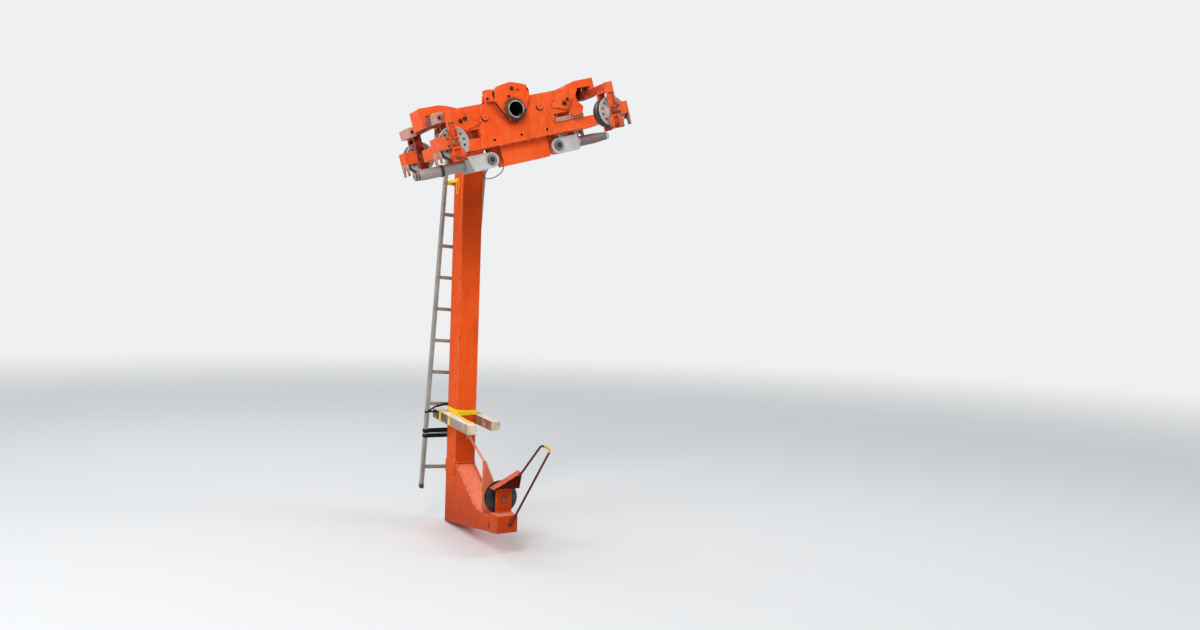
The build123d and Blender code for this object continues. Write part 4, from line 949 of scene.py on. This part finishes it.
# ---- hanger: weld beads, bolts and screws
beads = Work("hanger_weld_beads", "hanger", "orange_paint", "column_paint")
beads.bead([(COL_LEFT, COL_IN, COL_TOP), (COL_RIGHT, COL_IN, COL_TOP), (COL_RIGHT, COL_OUT, COL_TOP),
            (COL_LEFT, COL_OUT, COL_TOP)], 5.5, closed=True)
beads.seam(COL_IN, [(COL_LEFT + 4, COL_LOW), (COL_RIGHT - 4, COL_LOW)], 7)
for x in (COL_LEFT, COL_RIGHT):
    beads.bead([(x, COL_MID_Y - 20, COL_LOW + 66), (x, COL_IN, COL_LOW), (x, COL_IN, COL_LOW - 110),
                (x, COL_OUT, COL_LOW - 110), (x, COL_OUT, COL_LOW)], 5, closed=True)
HOOD_NEAR, HOOD_FAR = -148, -110
for x in (PIVOT_X - 59, PIVOT_X + 65):
    beads.bead([(x, HOOD_NEAR, FOOT_TOP_Z + 46), (x, HOOD_FAR, FOOT_TOP_Z + 46)], 5)
for y, x, z, end_x, end_z, leg in (
        (HOOD_NEAR, -58, 47, 62, 47, 5.5), (-109, -88, -110, -88, 2, 5), (92, 52, -8, -76, -8, 5.5)):
    beads.seam(y, [(PIVOT_X + x, FOOT_TOP_Z + z), (PIVOT_X + end_x, FOOT_TOP_Z + end_z)], leg)
beads.done()

bolts = Work("hanger_bolts", "hanger", "bright_steel", "rusty_bolt", "black_rubber")
for x, z in on_circle(104, [tau * (step + 0.5) / 8 for step in range(8)]):
    bolts.hex_bolt(on_side(PIVOT_X + x, COL_OUT - 20, PIVOT_Z + z), 19, 9, 13)
HOLE = ((27, 0), (27, 2), (24, 3.5), (22, 3), (20, 0.6), (0, 0.6))
bolts.turned(pointing((COL_LEFT - 0.4, -86, FOOT_Z + 214), (-1, 0, 0)), HOLE, 36, 1)
bolts.done()


# ---- ladder: rung ends and feet
def up_ladder(rise):
    return LADDER_FOOT_X + rise * sin(LEAN), LADDER_FOOT_Z + rise * cos(LEAN)


rungs = Work("ladder_rung_collars", "hanger", "aluminium_rail", "aluminium_rail", "black_rubber")
OUTER_CAP = ((26.5, -0.5), (26.5, 2), (24, 4), (21.5, 4.5), (0, 4.5))
INNER_COLLAR = ((27, -0.5), (27, 2), (24, 5), (22, 6), (18, 6))
FOOT_STEPS = (  # half width, half depth, height
    (10, 27, -3), (13.4, 31, -2), (13.6, 31.2, 4), (13.6, 31.2, 34), (13, 30.6, 36), (12.4, 29.9, 36))
for rung in range(RUNGS):
    mid_x, mid_z = up_ladder(FIRST_RUNG + RUNG_PITCH * rung)
    for way in (-1, 1):
        for face_way, profile in ((way, OUTER_CAP), (-way, INNER_COLLAR)):
            off = way * RAIL_MID + face_way * 12.5
            seat = Vector((mid_x + off * cos(LEAN), RUNG_Y, mid_z - off * sin(LEAN)))
            out = Vector((face_way * cos(LEAN), 0, -face_way * sin(LEAN)))
            rungs.turned(pointing(seat, out), profile, 4, 0, turn=pi / 4)
for way in (-1, 1):
    foot_x = LADDER_FOOT_X + way * RAIL_MID * cos(LEAN)
    foot_z = LADDER_FOOT_Z - way * RAIL_MID * sin(LEAN)
    seat = at((foot_x, RUNG_Y, foot_z)) @ Matrix.Rotation(LEAN, 4, "Y")
    rings = [[rungs.vert(seat @ Vector((sx * half_x, sy * half_y, height)))
              for sx, sy in ((-1, -1), (1, -1), (1, 1), (-1, 1))] for half_x, half_y, height in FOOT_STEPS]
    rungs.skin(rings, 1, smooth=False)
    rungs.face(rings[0][::-1]).material_index = 1
rungs.done()

# ---- webbing: lashings of the timbers and the ladder
yellow = Work("timber_lashing", "hanger", "yellow_web", "yellow_web")
AROUND = (  # once round the column, its corners rounded
    (-82, -120), (82, -120), (90, -112), (90, 112), (82, 120), (-82, 120), (-90, 112), (-90, -112))
for rise, drop, wide, stand in ((60, 4, 44, 0.6), (66, -9, 34, 3.2)):
    round_column = [(PIVOT_X + x * (1 + stand / 90), COL_MID_Y + y * (1 + stand / 120),
                     TIMBER_MID_Z + rise + drop * (x / 90) - (5 if y < 0 else -3)) for x, y in AROUND]
    yellow.band(round_column, (0, 0.06, 1), wide, 2, ripple=0.7)
OVER_TIMBER = (  # from the column over the timber and back under it
    (91, 53), (98, 41), (166, 40), (172, 34), (172, -36), (166, -42), (94, -42))
for way, y in ((-1, 985), (1, 868)):
    over = [(PIVOT_X + way * x, y, TIMBER_MID_Z + z) for x, z in OVER_TIMBER]
    yellow.band(over if way < 0 else over[::-1], (0, -1, 0.03), 50, 2.2, closed=False, ripple=0.5)
DIAGONAL = (  # from the column's near corner round the left timber and back: spot, width's way
    ((-78, -124, 72), (0.1, 0.3, 1)), ((-92, -126, 56), (0.2, 0.6, 0.6)), ((-112, -132, 43), (0.3, 1, 0.2)),
    ((-160, -148, 41), (0.2, 1, 0)), ((-171.5, -151, 36), (0.1, 1, 0)), ((-172.5, -151, -36), (0, 1, 0.1)),
    ((-168, -150, -42), (0, 1, 0)), ((-110, -138, -43), (0.1, 1, 0)), ((-92, -128, -43), (0.2, 1, 0)))
yellow.band([(PIVOT_X + x, COL_MID_Y + y, TIMBER_MID_Z - 5 + z) for (x, y, z), _ in DIAGONAL],
            [way for _, way in DIAGONAL], 60, 2.2, closed=False, ripple=0.7)
TAIL = (
    ((-84, 768, 46), (1, 0.1, 0)), ((-92, 700, 36), (1, 0.1, 0)), ((-100, 560, 30), (1, 0, 0)),
    ((-98, 430, 25), (1, 0, 0)), ((-92, 360, 22), (1, 0.2, 0)), ((-86, 335, 8), (0.3, 1, 0)),
    ((-86, 325, -22), (0, 1, 0)))
yellow.band([(PIVOT_X + x, y, TIMBER_MID_Z + z) for (x, y, z), _ in TAIL], [way for _, way in TAIL], 26, 2,
            closed=False, ripple=0.4)
yellow.done("timber_strap")

lashing = Work("ladder_lashing", "hanger", "black_web", "black_web")
strap_x, strap_z = up_ladder(FIRST_RUNG + RUNG_PITCH - 12)
RAIL_OUT = LADDER_HALF + 2
ROUND_LADDER = (
    (COL_LEFT + 4, COL_OUT + 2.5), (COL_RIGHT - 4, COL_OUT + 2.5), (strap_x + RAIL_OUT, LADDER_Y - 1),
    (strap_x + RAIL_OUT, LADDER_Y + 61), (strap_x, LADDER_Y + 62), (strap_x - RAIL_OUT, LADDER_Y + 61),
    (strap_x - RAIL_OUT, LADDER_Y - 1))
for rise in (15, 59):
    lashing.band([(x, y, strap_z + rise) for x, y in ROUND_LADDER], UPWARD, 30, 2.2, ripple=0.5)
lashing.done("ladder_strap")

lashing = Work("thin_ladder_lashing", "hanger", "black_web", "black_web")
THIN = (
    (-281, 1093, -2243), (-282, 1031, -2240), (-214, 1027, -2192), (-92, 1023, -2166), (92, 1023, -2176),
    (101, 1031, -2228), (101, 1093, -2232), (-90, 1095, -2240))
lashing.band([(PIVOT_X + x, y, z) for x, y, z in THIN], UPWARD, 17, 2, ripple=0.3)
lashing.done()

sling = Work("ladder_top_sling", "hanger", "yellow_web", "yellow_web")
top_x, top_z = up_ladder(FIRST_RUNG + RUNG_PITCH * (RUNGS - 1))
ROUND_RUNG = (
    (-16.5, -13.5), (-16.5, 13.5), (-13.5, 16.5), (13.5, 16.5), (16.5, 13.5), (16.5, -13.5), (13.5, -16.5),
    (-13.5, -16.5))
for off in (-152, -128):
    sling.band([(top_x + off, RUNG_Y + y, top_z + 8 + z) for y, z in ROUND_RUNG], (1, 0, 0), 23, 2, ripple=0.4)
left = COL_LEFT - 2.5
SLING_RUN = (
    (top_x - 140, LADDER_Y + 12, top_z + 25), (left - 16, LADDER_Y - 14, top_z + 22),
    (left - 1, COL_OUT - 14, top_z + 22), (left, 950, top_z + 30), (left - 1, 915, top_z + 33))
sling.band(SLING_RUN, UPWARD, 24, 2, closed=False, ripple=0.4)
TURNS = [tau * step / 24 for step in range(24)]
DROP = [(left - 4, 905 + 36 * sin(turn), top_z - 32 + 68 * cos(turn)) for turn in TURNS]
sling.band(DROP, (1, 0, 0), 7, 5, ripple=0.1)
sling.done()

# The CAD pieces that stay as they are take their record's slot, some a tone of their own
for part in frame["record"]["subparts"]:
    cad_mesh = nodes[part["node"]].data
    cad_mesh.materials.clear()
    cad_mesh.materials.append(FINISH[OWN_TONE.get(part["node"], part["material_slot"])])
